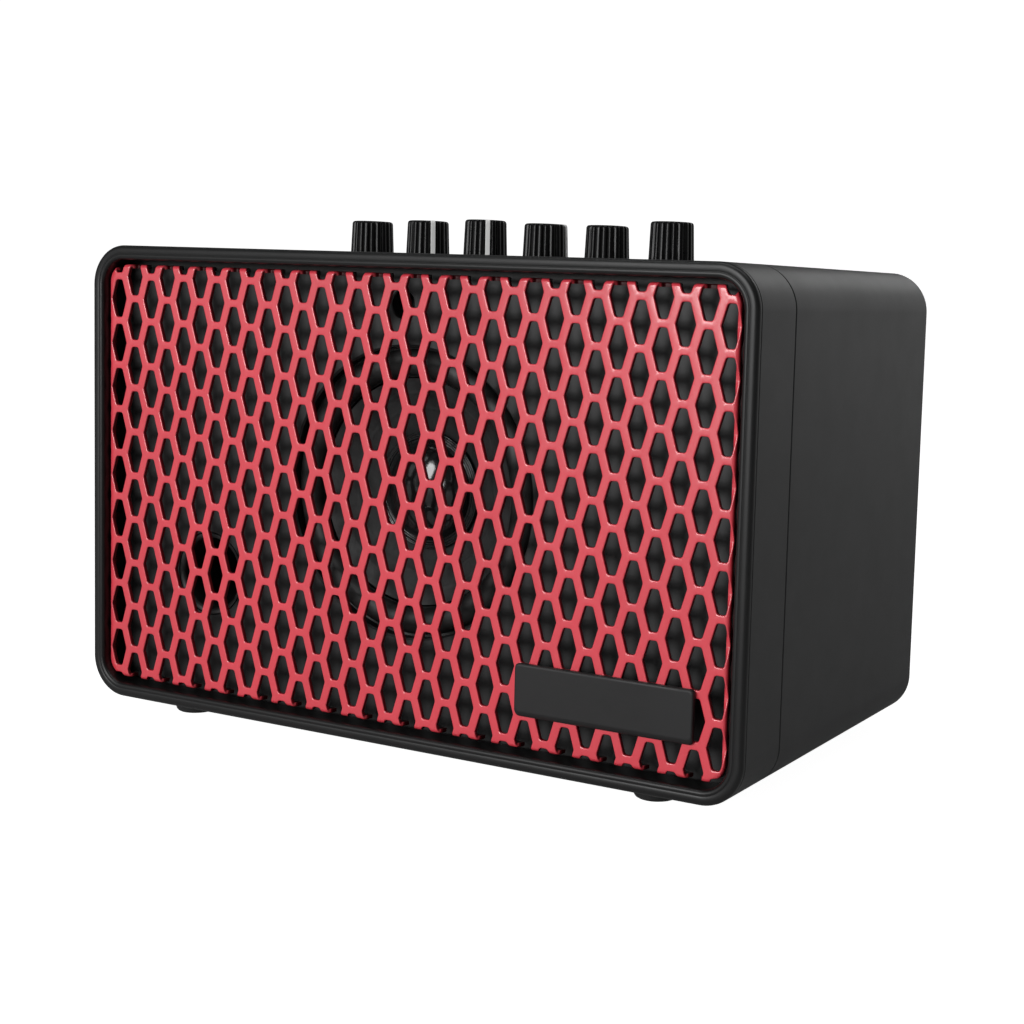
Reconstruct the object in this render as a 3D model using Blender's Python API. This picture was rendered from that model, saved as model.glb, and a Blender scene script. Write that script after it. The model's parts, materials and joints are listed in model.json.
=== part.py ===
"""Small guitar amplifier: a two-part cabinet with a perforated grille, one
loudspeaker, six rotary controls on the top and a connection plate at the back.

Frame: X to the right as seen from the front, Y from front to back, Z up.
Origin: centre of the footprint on the surface the feet stand on.
Every length below is in millimetres and is turned into metres when a mesh is made.
"""

import math

import bmesh
import bpy
from mathutils import Vector
from mathutils.geometry import delaunay_2d_cdt

# ---------------------------------------------------------------- shared dimensions
MILLIMETRE = 0.001             # in metres
GAP = 0.3                      # air kept between neighbouring pieces
OVERSHOOT = 1.0                # how far a boolean tool runs past or into a face

CAB_WIDTH = 207.8              # X
CAB_HEIGHT = 128.1             # Z, without the feet
CAB_DEPTH = 113.5              # Y
CAB_RADIUS = 11.15             # corners of the front outline
MIN_CORNER_RADIUS = 1.5
WALL = 3.0
FOOT_HEIGHT = 3.6

FRONT_Y = -CAB_DEPTH / 2
BACK_Y = CAB_DEPTH / 2
BOTTOM_Z = FOOT_HEIGHT
TOP_Z = FOOT_HEIGHT + CAB_HEIGHT
CENTRE_Z = FOOT_HEIGHT + CAB_HEIGHT / 2

SEAM_Y = FRONT_Y + 21.1        # middle of the joint between front and rear shell
BEZEL_LINE = 2.0               # where the front shell starts, behind the front
BAFFLE_Y = FRONT_Y + 9.2       # front face of the baffle
BAFFLE_THICKNESS = 3.0
BAFFLE_BACK_Y = BAFFLE_Y + BAFFLE_THICKNESS

SPEAKER = (0.0, CENTRE_Z + 1.6)      # centre, X and Z
SPEAKER_SCREW_RING = 46.5            # radius of the circle the screws stand on
SPEAKER_SCREW_ANGLES = (45, 135, 225, 315)
SPEAKER_SCREWS = [(SPEAKER[0] + SPEAKER_SCREW_RING * math.cos(math.radians(angle)),
                   SPEAKER[1] + SPEAKER_SCREW_RING * math.sin(math.radians(angle)))
                  for angle in SPEAKER_SCREW_ANGLES]
SPEAKER_SCREW_HOLE_RADIUS = 2.0

PORT = (-68.0, CENTRE_Z - 27.0)      # centre, X and Z
PORT_RADIUS = 10.0                   # inside the tube
PORT_WALL = 1.5

# screws that join the shells: upper left, upper right, lower left, lower right
CASE_SCREWS = [(side * 91.5, CENTRE_Z + level * 51.5) for level in (1, -1) for side in (-1, 1)]
FRONT_SCREW = (-2.7, CENTRE_Z + 51.0)
SCREW_HOLE_RADIUS = 1.9
WELL_FLOOR_Y = FRONT_Y + 19.0        # floor of the front screw's well
PILLAR_FLOOR_Y = SEAM_Y + 6.0        # floor of the bores in the rear shell's pillars

# knob name, its top above the cabinet's top, its turn in degrees clockwise from the back
KNOBS = (("gain", 10.0, -20.0), ("bass", 10.4, 130.0), ("middle", 10.9, 140.0),
         ("treble", 10.1, 72.0), ("reverb", 9.9, -95.0), ("volume", 11.2, 0.0))
KNOB_PITCH = 20.16
KNOB_XS = [(i - 2.5) * KNOB_PITCH for i in range(len(KNOBS))]

PANEL_HALF = (74.0, 17.0)            # control plate on the top, X and Y
PANEL_RADIUS = 3.0
PANEL_BASE_Z = TOP_Z - 1.5

IO_HALF = (59.0, 15.0)               # connection plate at the back, X and Z
IO_RADIUS = 2.0
IO_Z = 32.0
IO_SINK = 3.4                        # so that nothing passes the back face
IO_Y = BACK_Y - IO_SINK              # reference plane of the connections
IO_PLATE_Y = IO_Y - 1.3              # front face of the plate

BOARD_THICKNESS = 1.6                # both circuit boards

# ---------------------------------------------------------------- clean start
for old in list(bpy.data.objects):
    bpy.data.objects.remove(old, do_unlink=True)


# ---------------------------------------------------------------- materials
def make_material(name, colour, roughness, metallic=0.0):
    material = bpy.data.materials.new(name)
    material.use_nodes = True
    shader = material.node_tree.nodes["Principled BSDF"]
    shader.inputs["Base Color"].default_value = (*colour, 1.0)
    shader.inputs["Roughness"].default_value = roughness
    shader.inputs["Metallic"].default_value = metallic
    material.diffuse_color = (*colour, 1.0)
    return material


SHELL = make_material("shell_plastic", colour=(0.030, 0.031, 0.033), roughness=0.55)
BEZEL = make_material("bezel_plastic", colour=(0.016, 0.017, 0.018), roughness=0.30)
GRILLE = make_material("grille_coating", colour=(0.68, 0.045, 0.065), roughness=0.38)
BADGE = make_material("badge_plastic", colour=(0.028, 0.028, 0.029), roughness=0.40)
KNOB = make_material("knob_plastic", colour=(0.010, 0.010, 0.011), roughness=0.35)
SHAFT = make_material("shaft_plastic", colour=(0.55, 0.55, 0.54), roughness=0.45)
STEEL = make_material("zinc_steel", colour=(0.55, 0.55, 0.56), roughness=0.35, metallic=1.0)
DARK_STEEL = make_material("black_steel", colour=(0.03, 0.03, 0.03), roughness=0.45, metallic=0.8)
BASKET = make_material("basket_paint", colour=(0.02, 0.02, 0.021), roughness=0.5, metallic=0.3)
RUBBER = make_material("rubber", colour=(0.012, 0.012, 0.012), roughness=0.8)
CONE = make_material("cone_paper", colour=(0.020, 0.020, 0.021), roughness=0.75)
DUST_CAP = make_material("dust_cap_gloss", colour=(0.010, 0.010, 0.011), roughness=0.12)
SPIDER = make_material("spider_cloth", colour=(0.55, 0.35, 0.12), roughness=0.9)
COIL = make_material("coil_former", colour=(0.60, 0.30, 0.12), roughness=0.5, metallic=0.5)
FERRITE = make_material("ferrite", colour=(0.05, 0.05, 0.055), roughness=0.6)
BOARD = make_material("circuit_board", colour=(0.01, 0.09, 0.04), roughness=0.5)
BATTERY = make_material("battery_wrap", colour=(0.04, 0.12, 0.45), roughness=0.4)
PLATE = make_material("panel_plate", colour=(0.012, 0.012, 0.013), roughness=0.4)
JACK = make_material("jack_plastic", colour=(0.012, 0.012, 0.012), roughness=0.45)
LED = make_material("led_lens", colour=(0.6, 0.02, 0.02), roughness=0.15)


# ---------------------------------------------------------------- outlines
# An outline is a list of (across, up) points on the plane a body is built on.
def circle(centre, radius, count, start=0.0):
    return [(centre[0] + radius * math.cos(start + 2 * math.pi * i / count),
             centre[1] + radius * math.sin(start + 2 * math.pi * i / count))
            for i in range(count)]


def rounded_rect(half_width, half_height, radius, steps, centre=(0.0, 0.0)):
    """Counter-clockwise outline with steps + 1 points on each corner."""
    points = []
    for k, (side, level) in enumerate(((1, 1), (-1, 1), (-1, -1), (1, -1))):
        for i in range(steps + 1):
            angle = math.pi / 2 * (k + i / steps)
            points.append((centre[0] + side * (half_width - radius) + radius * math.cos(angle),
                           centre[1] + level * (half_height - radius) + radius * math.sin(angle)))
    return points


def boxed(half_width, half_height, count, centre):
    """Rectangle whose points pair with the points of a circle; count is a multiple of 8."""
    points = []
    for i in range(count):
        angle = 2 * math.pi * i / count
        reach = max(abs(math.cos(angle)), abs(math.sin(angle)))
        points.append((centre[0] + half_width * math.cos(angle) / reach,
                       centre[1] + half_height * math.sin(angle) / reach))
    return points


def cabinet_outline(inset):
    return rounded_rect(CAB_WIDTH / 2 - inset, CAB_HEIGHT / 2 - inset,
                        max(CAB_RADIUS - inset, MIN_CORNER_RADIUS), 4, (0.0, CENTRE_Z))


def inside(outline, across, up):
    """Even-odd test of a point against an outline."""
    hit = False
    across_b, up_b = outline[-1]
    for across_a, up_a in outline:
        if (up_a > up) != (up_b > up):
            if across < (across_b - across_a) * (up - up_a) / (up_b - up_a) + across_a:
                hit = not hit
        across_b, up_b = across_a, up_a
    return hit


def bounds(outline):
    across, up = zip(*outline)
    return min(across), max(across), min(up), max(up)


def cap_triangles(outer, holes):
    """Triangles that fill an outline around its holes, as indices into outer + holes."""
    points, edges = [], []
    for outline in [outer] + holes:
        base, count = len(points), len(outline)
        points += outline
        edges += [(base + i, base + (i + 1) % count) for i in range(count)]
    verts, _, faces, sources, _, _ = delaunay_2d_cdt(
        [Vector(point) for point in points], edges, [], 0, 1e-7, True)
    boxes = [(*bounds(hole), hole) for hole in holes]
    triangles = []
    for face in faces:
        across = sum(verts[i][0] for i in face) / 3
        up = sum(verts[i][1] for i in face) / 3
        in_hole = any(left <= across <= right and low <= up <= high and inside(hole, across, up)
                      for left, right, low, high, hole in boxes)
        if inside(outer, across, up) and not in_hole:
            triangles.append([sources[i][0] for i in face])
    return triangles


# ---------------------------------------------------------------- bodies
class Solid:
    """Collects the faces of one closed body. Outlines lie on the plane XY, XZ or YZ;
    level is the distance along the third axis."""

    def __init__(self, plane):
        self.mesh = bmesh.new()
        self.plane = plane

    def point(self, across, up, level):
        place = {"XY": (across, up, level), "XZ": (across, level, up),
                 "YZ": (level, across, up)}[self.plane]
        return [value * MILLIMETRE for value in place]

    def ring(self, outline, level):
        return [self.mesh.verts.new(self.point(across, up, level)) for across, up in outline]

    def wall(self, near, far):
        """Faces between two rings; a ring of one point is a tip."""
        if len(near) == 1:
            near, far = far, near
        for i in range(len(near)):
            j = (i + 1) % len(near)
            if len(far) == 1:
                self.mesh.faces.new((far[0], near[i], near[j]))
            else:
                self.mesh.faces.new((near[i], near[j], far[j], far[i]))

    def walls(self, rings):
        for near, far in zip(rings, rings[1:]):
            self.wall(near, far)

    def cap(self, outline, ring, hole_outlines=(), hole_rings=()):
        if not hole_outlines:
            self.mesh.faces.new(ring)
            return
        verts = list(ring)
        for hole_ring in hole_rings:
            verts += hole_ring
        for triangle in cap_triangles(outline, hole_outlines):
            self.mesh.faces.new([verts[i] for i in triangle])

    def finish(self, name, material, origin=(0, 0, 0), smooth=None):
        """Makes the object; smooth is the angle in degrees above which edges stay sharp."""
        bmesh.ops.recalc_face_normals(self.mesh, faces=self.mesh.faces[:])
        location = Vector(origin) * MILLIMETRE
        bmesh.ops.translate(self.mesh, verts=self.mesh.verts[:], vec=-location)
        data = bpy.data.meshes.new(name)
        self.mesh.to_mesh(data)
        self.mesh.free()
        data.materials.append(material)
        body = bpy.data.objects.new(name, data)
        bpy.context.scene.collection.objects.link(body)
        body.location = location
        if smooth:
            data.shade_smooth()
            data.set_sharp_from_angle(angle=math.radians(smooth))
        return body


def lofted(name, material, plane, sections, holes=(), **finish):
    """Closed body through sections [(level, outline), ...]. A hole is a list of sections
    that starts in an end face and stops blind, or runs out of the other end face."""
    solid = Solid(plane)
    rings = [solid.ring(outline, level) for level, outline in sections]
    solid.walls(rings)
    end_levels = (sections[0][0], sections[-1][0])
    end_holes = (([], []), ([], []))         # outlines and rings, for each end face
    for hole in holes:
        hole_rings = [solid.ring(outline, level) for level, outline in hole]
        solid.walls(hole_rings)
        for end_level, (outlines, mouths) in zip(end_levels, end_holes):
            for i in (0, -1):
                if abs(hole[i][0] - end_level) < 1e-6:
                    outlines.append(hole[i][1])
                    mouths.append(hole_rings[i])
        if all(abs(hole[-1][0] - end_level) > 1e-6 for end_level in end_levels):
            solid.cap(hole[-1][1], hole_rings[-1])
    for i, (outlines, mouths) in zip((0, -1), end_holes):
        solid.cap(sections[i][1], rings[i], outlines, mouths)
    return solid.finish(name, material, **finish)


def prism(name, material, plane, outline, start, end, holes=(), **finish):
    """Straight body between two levels, with straight through holes."""
    return lofted(name, material, plane, [(start, outline), (end, outline)],
                  [[(start, hole), (end, hole)] for hole in holes], **finish)


def turned(name, material, profile, axis, centre, segments, **finish):
    """Body of revolution: a profile of (radius, along) round an axis Y or Z through
    centre = (across, up, level). A profile that starts and ends at radius 0 is closed
    by its axis."""
    solid = Solid("XZ" if axis == "Y" else "XY")
    rings = []
    for radius, along in profile:
        if radius < 1e-9:
            outline = [centre[:2]]
        else:
            outline = circle(centre, radius, segments)
        rings.append(solid.ring(outline, centre[2] + along))
    solid.walls(rings)
    if len(rings[0]) > 1:
        solid.wall(rings[-1], rings[0])
    return solid.finish(name, material, **finish)


def boolean(body, operation, name, plane, outline, start, end):
    """Builds a straight tool, hidden in renders, and applies it to the body by a modifier."""
    tool = prism(name, SHELL, plane, outline, start, end)
    tool.hide_render = True
    tool.display_type = "WIRE"
    modifier = body.modifiers.new(name, "BOOLEAN")
    modifier.operation = operation
    modifier.solver = "EXACT"
    modifier.object = tool


def cut(body, *tool):
    boolean(body, "DIFFERENCE", *tool)


def join(body, *tool):
    boolean(body, "UNION", *tool)


# ---------------------------------------------------------------- bezel
BEZEL_BAND = 4.4               # width of the front band
BEZEL_SKIRT = 7.0              # how far the skirt reaches back
BEZEL_SKIRT_INSET = 3.2        # outer face of the skirt
# inset from the cabinet's outline, distance behind the front
BEZEL_PROFILE = (
    (0.0, BEZEL_LINE - GAP), (0.12, 1.0), (0.5, 0.42), (1.1, 0.1), (1.9, 0.0), (3.4, 0.05),
    (4.1, 0.35), (BEZEL_BAND, 1.0), (BEZEL_BAND, BEZEL_SKIRT),
    (BEZEL_SKIRT_INSET, BEZEL_SKIRT), (BEZEL_SKIRT_INSET, BEZEL_LINE - GAP))


def make_bezel():
    solid = Solid("XZ")
    rings = [solid.ring(cabinet_outline(inset), FRONT_Y + depth)
             for inset, depth in BEZEL_PROFILE]
    solid.walls(rings + rings[:1])
    solid.finish("bezel", BEZEL, smooth=40)


# ---------------------------------------------------------------- grille
GRILLE_FRONT_Y = FRONT_Y + 2.3
GRILLE_THICKNESS = 1.1         # sheet with its coating
GRILLE_HALF = (98.7, 58.85)    # of the tray, X and Z
GRILLE_RADIUS = 5.0
GRILLE_FLANGE = 3.5            # depth of the folded edge
GRILLE_FOLD = 1.0              # thickness of the folded edge
GRILLE_CHAMFER = 0.5
COLUMN_PITCH = 6.0
COLUMNS = 33
HOLE_PITCH = 12.462            # within one column
HOLES_PER_COLUMN = 9           # odd columns have one more
HOLE_TOP = 49.26               # first hole of the even columns, above the centre
HOLE_HALF_WIDTH = 2.70         # at the hexagon's points
HOLE_HALF_FLAT = 1.09          # of its flats
HOLE_HALF_HEIGHT = 5.2
HOLE_LIMIT_X = GRILLE_HALF[0] - GRILLE_FOLD - GAP - 0.1
HOLE_LIMIT_Z = GRILLE_HALF[1] - GRILLE_FOLD - GAP


def grille_hole(x, z):
    """Elongated hexagon round x, z from the grille's centre, clipped at the fold."""
    taper = HOLE_HALF_WIDTH - HOLE_HALF_FLAT
    slope = taper / HOLE_HALF_HEIGHT
    right = [(HOLE_HALF_FLAT, HOLE_HALF_HEIGHT), (HOLE_HALF_WIDTH, 0.0),
             (HOLE_HALF_FLAT, -HOLE_HALF_HEIGHT)]
    if z + HOLE_HALF_HEIGHT > HOLE_LIMIT_Z:
        clip = HOLE_LIMIT_Z - z
        right[0] = (HOLE_HALF_WIDTH - slope * clip, clip)
    if z - HOLE_HALF_HEIGHT < -HOLE_LIMIT_Z:
        clip = -HOLE_LIMIT_Z - z
        right[2] = (HOLE_HALF_WIDTH + slope * clip, clip)
    left = right
    reach = HOLE_LIMIT_X - abs(x)
    if reach < HOLE_HALF_WIDTH:              # the outermost columns lose their outer point
        clip = HOLE_HALF_HEIGHT * (HOLE_HALF_WIDTH - reach) / taper
        clipped = [right[0], (reach, clip), (reach, -clip), right[2]]
        if x > 0:
            right = clipped
        else:
            left = clipped
    outline = right + [(-across, up) for across, up in reversed(left)]
    return [(x + across, CENTRE_Z + z + up) for across, up in reversed(outline)]


def grille_holes():
    """Odd columns sit half a pitch higher and run out at top and bottom."""
    holes = []
    for column in range(COLUMNS):
        x = (column - (COLUMNS - 1) / 2) * COLUMN_PITCH
        odd = column % 2
        for k in range(-odd, HOLES_PER_COLUMN):
            holes.append(grille_hole(x, HOLE_TOP - (k + 0.5 * odd) * HOLE_PITCH))
    return holes


def make_grille():
    def tray(inset):
        return rounded_rect(GRILLE_HALF[0] - inset, GRILLE_HALF[1] - inset,
                            GRILLE_RADIUS - inset, 4, (0.0, CENTRE_Z))

    sheet_back = GRILLE_FRONT_Y + GRILLE_THICKNESS
    flange_back = GRILLE_FRONT_Y + GRILLE_FLANGE
    sections = [(GRILLE_FRONT_Y, tray(GRILLE_CHAMFER)), (GRILLE_FRONT_Y + GRILLE_CHAMFER, tray(0)),
                (flange_back, tray(0)), (flange_back, tray(GRILLE_FOLD)),
                (sheet_back, tray(GRILLE_FOLD))]
    holes = [[(GRILLE_FRONT_Y, hole), (sheet_back, hole)] for hole in grille_holes()]
    lofted("grille", GRILLE, "XZ", sections, holes)


# ---------------------------------------------------------------- badge
BADGE_X = (39.9, 90.2)         # from, to
BADGE_Z = (-49.3, -36.7)       # from, to, above the cabinet's centre
BADGE_CHAMFER = 0.3
BADGE_RADIUS = 0.8


def make_badge():
    centre = (sum(BADGE_X) / 2, CENTRE_Z + sum(BADGE_Z) / 2)
    half_width = (BADGE_X[1] - BADGE_X[0]) / 2
    half_height = (BADGE_Z[1] - BADGE_Z[0]) / 2

    def plate(inset):
        return rounded_rect(half_width - inset, half_height - inset, BADGE_RADIUS - inset, 2,
                            centre)

    lofted("badge_plate", BADGE, "XZ",
           [(FRONT_Y + 0.7, rounded_rect(half_width - BADGE_CHAMFER, half_height - BADGE_CHAMFER,
                                         0.5, 2, centre)),
            (FRONT_Y + 1.0, plate(0)), (GRILLE_FRONT_Y - GAP, plate(0))])


# ---------------------------------------------------------------- cabinet shells
SEAM_EDGE = 0.15               # small chamfer at the shells' open edges
REBATE_INSET = 1.4             # rebate inside the front shell takes the rear shell's lip
REBATE_Y = FRONT_Y + 17.0
SPEAKER_OPENING_RADIUS = 38.5
BAFFLE_TOOL_Y = FRONT_Y + 8.0  # where the tools that pierce the baffle start
PILLAR_RADIUS = 5.6
PILLAR_BORE_RADIUS = 3.9
PILLAR_FRONT_Y = PILLAR_FLOOR_Y - 3.0
CASE_BOSS_RADIUS = 4.5
WELL_RADIUS = 3.6
WELL_BOSS_RADIUS = 5.2
WELL_BACK_Y = WELL_FLOOR_Y + 2.5
LUG_HALF = 5.0                 # block in the rear shell behind the well
SHAFT_HOLE_RADIUS = 4.2
IO_SLAB_MARGIN = 3.0           # thickened wall around the connection plate


def make_front_shell():
    start = FRONT_Y + BEZEL_LINE
    end = SEAM_Y - GAP / 2
    mouth = cabinet_outline(2.9)
    shell = lofted("front_shell", SHELL, "XZ", [
        (BAFFLE_Y, mouth), (start, mouth),
        (start, cabinet_outline(SEAM_EDGE)), (start + SEAM_EDGE, cabinet_outline(0.0)),
        (end - SEAM_EDGE, cabinet_outline(0.0)), (end, cabinet_outline(SEAM_EDGE)),
        (end, cabinet_outline(REBATE_INSET)), (REBATE_Y, cabinet_outline(REBATE_INSET)),
        (REBATE_Y, cabinet_outline(WALL)), (BAFFLE_BACK_Y, cabinet_outline(WALL))], smooth=35)

    boss_start = BAFFLE_BACK_Y - OVERSHOOT
    baffle_end = BAFFLE_BACK_Y + OVERSHOOT
    for i, centre in enumerate(CASE_SCREWS):
        join(shell, f"tool_front_boss_{i}", "XZ", circle(centre, CASE_BOSS_RADIUS, 12),
             boss_start, PILLAR_FRONT_Y - GAP)
    join(shell, "tool_well_boss", "XZ", circle(FRONT_SCREW, WELL_BOSS_RADIUS, 16),
         boss_start, WELL_BACK_Y)
    cut(shell, "tool_speaker_opening", "XZ", circle(SPEAKER, SPEAKER_OPENING_RADIUS, 40),
        BAFFLE_TOOL_Y, baffle_end)
    cut(shell, "tool_port_opening", "XZ", circle(PORT, PORT_RADIUS + PORT_WALL + GAP, 20),
        BAFFLE_TOOL_Y, baffle_end)
    cut(shell, "tool_well", "XZ", circle(FRONT_SCREW, WELL_RADIUS, 16),
        BAFFLE_TOOL_Y, WELL_FLOOR_Y)
    cut(shell, "tool_well_hole", "XZ", circle(FRONT_SCREW, SCREW_HOLE_RADIUS, 8),
        WELL_FLOOR_Y - OVERSHOOT, WELL_FLOOR_Y + 4.0)
    for i, centre in enumerate(SPEAKER_SCREWS):
        cut(shell, f"tool_speaker_screw_{i}", "XZ", circle(centre, SPEAKER_SCREW_HOLE_RADIUS, 8),
            BAFFLE_BACK_Y - 2.0, baffle_end)
    for i, centre in enumerate(CASE_SCREWS):
        cut(shell, f"tool_case_screw_{i}", "XZ", circle(centre, SCREW_HOLE_RADIUS, 8),
            FRONT_Y + 13.5, SEAM_Y + 4.0)


def make_rear_shell():
    start = SEAM_Y + GAP / 2
    lip_y = REBATE_Y + GAP
    lip = cabinet_outline(REBATE_INSET + GAP)
    shell = lofted("rear_shell", SHELL, "XZ", [
        (BACK_Y - WALL, cabinet_outline(WALL)), (lip_y, cabinet_outline(WALL)),
        (lip_y, lip), (start, lip),
        (start, cabinet_outline(SEAM_EDGE)), (start + SEAM_EDGE, cabinet_outline(0.0)),
        (BACK_Y - 0.6, cabinet_outline(0.0)), (BACK_Y - 0.18, cabinet_outline(0.18)),
        (BACK_Y, cabinet_outline(0.6))], smooth=35)

    for i, centre in enumerate(CASE_SCREWS):
        join(shell, f"tool_pillar_{i}", "XZ", circle(centre, PILLAR_RADIUS, 12),
             PILLAR_FRONT_Y, BACK_Y - WALL + OVERSHOOT)
    x, z = FRONT_SCREW
    lug_front, lug_back = WELL_BACK_Y + GAP, WELL_FLOOR_Y + 14.0
    lug = [(x - LUG_HALF, lug_front), (x + LUG_HALF, lug_front),
           (x + LUG_HALF, lug_back), (x - LUG_HALF, lug_back)]
    join(shell, "tool_lug", "XY", lug, z - LUG_HALF, TOP_Z - WALL + OVERSHOOT)
    for i, centre in enumerate(CASE_SCREWS):
        cut(shell, f"tool_pillar_bore_{i}", "XZ", circle(centre, PILLAR_BORE_RADIUS, 16),
            PILLAR_FLOOR_Y, BACK_Y + OVERSHOOT)
        cut(shell, f"tool_pillar_hole_{i}", "XZ", circle(centre, SCREW_HOLE_RADIUS, 8),
            PILLAR_FRONT_Y - OVERSHOOT, PILLAR_FLOOR_Y + OVERSHOOT)
    cut(shell, "tool_lug_hole", "XZ", circle(FRONT_SCREW, SCREW_HOLE_RADIUS, 8),
        WELL_FLOOR_Y + 2.0, WELL_FLOOR_Y + 12.0)
    cut_control_openings(shell)
    cut_io_openings(shell)


def cut_control_openings(shell):
    """Recess for the control plate and the six shaft holes."""
    recess = rounded_rect(PANEL_HALF[0] + GAP, PANEL_HALF[1] + GAP, PANEL_RADIUS + GAP, 3)
    cut(shell, "tool_panel_recess", "XY", recess, PANEL_BASE_Z - GAP, TOP_Z + OVERSHOOT)
    for i, x in enumerate(KNOB_XS):
        cut(shell, f"tool_shaft_hole_{i}", "XY", circle((x, 0.0), SHAFT_HOLE_RADIUS, 12),
            TOP_Z - 5.0, TOP_Z + OVERSHOOT)


def cut_io_openings(shell):
    """Thickened wall, recess and window for the connection plate."""
    half_width, half_height = IO_HALF
    centre = (0.0, IO_Z)
    slab = rounded_rect(half_width + IO_SLAB_MARGIN, half_height + IO_SLAB_MARGIN, 3.0, 2, centre)
    recess = rounded_rect(half_width + GAP, half_height + GAP, IO_RADIUS + GAP, 3, centre)
    window = rounded_rect(half_width - 4.0, half_height - 3.0, 1.0, 2, centre)
    join(shell, "tool_io_slab", "XZ", slab, IO_Y - 4.0, BACK_Y - OVERSHOOT)
    cut(shell, "tool_io_recess", "XZ", recess, IO_PLATE_Y - GAP, BACK_Y + OVERSHOOT)
    cut(shell, "tool_io_window", "XZ", window, IO_Y - 6.0, BACK_Y + OVERSHOOT)


# ---------------------------------------------------------------- feet
FOOT_RADIUS = 6.0
FOOT_X = 75.3
FOOT_INSET = 12.0              # foot centre from the front and from the back face
# radius, height above the ground
FOOT_PROFILE = (
    (0.0, FOOT_HEIGHT - GAP), (FOOT_RADIUS - 0.3, FOOT_HEIGHT - GAP),
    (FOOT_RADIUS, FOOT_HEIGHT - 1.0), (FOOT_RADIUS - 0.15, 1.2), (FOOT_RADIUS - 0.55, 0.4),
    (FOOT_RADIUS - 1.4, 0.0), (0.0, 0.0))


def make_feet():
    for row, y in (("front", FRONT_Y + FOOT_INSET), ("rear", BACK_Y - FOOT_INSET)):
        for side, x in (("left", -FOOT_X), ("right", FOOT_X)):
            turned(f"foot_{row}_{side}", RUBBER, FOOT_PROFILE, "Z", (x, y, 0.0), 20,
                   origin=(x, y, 0.0), smooth=50)


# ---------------------------------------------------------------- screws
SCREW_HEAD_HEIGHT = 2.2


def make_screw(name, centre, head_face, direction, head_radius, shank_radius, shank_length):
    """Pan-head screw along Y; head_face is the outer face of the head, direction is the
    way the shank points; a hexagonal socket stands for the driver recess."""
    def level(distance):
        return head_face + direction * distance

    def section(distance, radius):
        return level(distance), circle(centre, radius, 10)

    sections = [section(0.0, head_radius * 0.72), section(SCREW_HEAD_HEIGHT * 0.35, head_radius),
                section(SCREW_HEAD_HEIGHT, head_radius), section(SCREW_HEAD_HEIGHT, shank_radius),
                section(SCREW_HEAD_HEIGHT + shank_length, shank_radius * 0.4)]
    socket = circle(centre, head_radius * 0.42, 6)
    hole = [(head_face, socket), (level(SCREW_HEAD_HEIGHT * 0.55), socket)]
    lofted(name, DARK_STEEL, "XZ", sections, [hole], origin=(centre[0], head_face, centre[1]))


def make_screws():
    corners = ("upper_left", "upper_right", "lower_left", "lower_right")
    for corner, centre in zip(corners, CASE_SCREWS):
        make_screw("case_screw_" + corner, centre, PILLAR_FLOOR_Y + GAP + SCREW_HEAD_HEIGHT, -1,
                   head_radius=3.4, shank_radius=1.5, shank_length=13.0)
    make_screw("front_screw", FRONT_SCREW, WELL_FLOOR_Y - GAP - SCREW_HEAD_HEIGHT, 1,
               head_radius=3.2, shank_radius=1.5, shank_length=12.0)
    corners = ("upper_right", "upper_left", "lower_left", "lower_right")
    for corner, centre in zip(corners, SPEAKER_SCREWS):
        make_screw("speaker_screw_" + corner, centre, FRONT_Y + 17.6, -1,
                   head_radius=3.6, shank_radius=1.6, shank_length=4.6)


# ---------------------------------------------------------------- loudspeaker
# Depths in this section are distances behind the cabinet's front.
BASKET_SEGMENTS = 32
FLANGE_RADIUS = 43.5
EAR_RADIUS = 5.2               # round each screw
FLANGE_FRONT = 13.6
FLANGE_BACK = 15.0
BASKET_FLOOR = 31.0
BASKET_BACK = 32.4
# radius, depth: through the inside of the basket and back along its outside
BASKET_PROFILE = (
    (39.0, FLANGE_FRONT), (27.4, 26.5), (27.4, BASKET_FLOOR), (15.0, BASKET_FLOOR),
    (15.0, BASKET_BACK), (28.7, BASKET_BACK), (28.7, 26.8), (40.3, FLANGE_BACK))
WINDOW_COUNT = 6
WINDOW_REACH = (24.0, 46.0)    # radii between which a window's tool lies
WINDOW_HALF_WIDTH = 8.5
WINDOW_DEPTHS = (17.5, 25.0)

SURROUND_THICKNESS = 0.7
SURROUND_BACK = 13.2
SURROUND_FRONT = SURROUND_BACK - SURROUND_THICKNESS
SURROUND_RADII = (43.0, 30.5)  # glued rim, inner rim
ROLL_CENTRE = 34.2             # radius at the middle of the half roll
ROLL_RADIUS = 3.6
ROLL_HEIGHT = 3.0

CONE_RADII = (30.1, 13.0)
CONE_SLOPE = 0.425             # depth gained for each millimetre towards the axis
CONE_THICKNESS = 0.8
CAP_RIM_RADIUS = 15.8

SPIDER_RADII = (13.1, 26.6)
SPIDER_DEPTH = 27.0
SPIDER_THICKNESS = 0.6
SPIDER_WAVE = 0.7
SPIDER_STEPS = 7

TOP_PLATE_FRONT = BASKET_BACK + GAP
TOP_PLATE_BACK = TOP_PLATE_FRONT + 4.0
MAGNET_FRONT = TOP_PLATE_BACK + GAP
MAGNET_BACK = MAGNET_FRONT + 10.0
YOKE_FRONT = MAGNET_BACK + GAP       # front face of the yoke's plate
YOKE_BACK = YOKE_FRONT + 4.0
YOKE_RADIUS = 29.0                   # also the top plate's
POLE_RADIUS = 11.45
POLE_FRONT = 33.0


def speaker_turned(name, material, profile, segments, smooth):
    """Body of revolution on the speaker's axis, with its origin at the profile's start."""
    turned(name, material, profile, "Y", (*SPEAKER, FRONT_Y), segments,
           origin=(SPEAKER[0], FRONT_Y + profile[0][1], SPEAKER[1]), smooth=smooth)


def tube_profile(outer, inner, front, back):
    return [(outer, front), (outer, back), (inner, back), (inner, front)]


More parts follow.
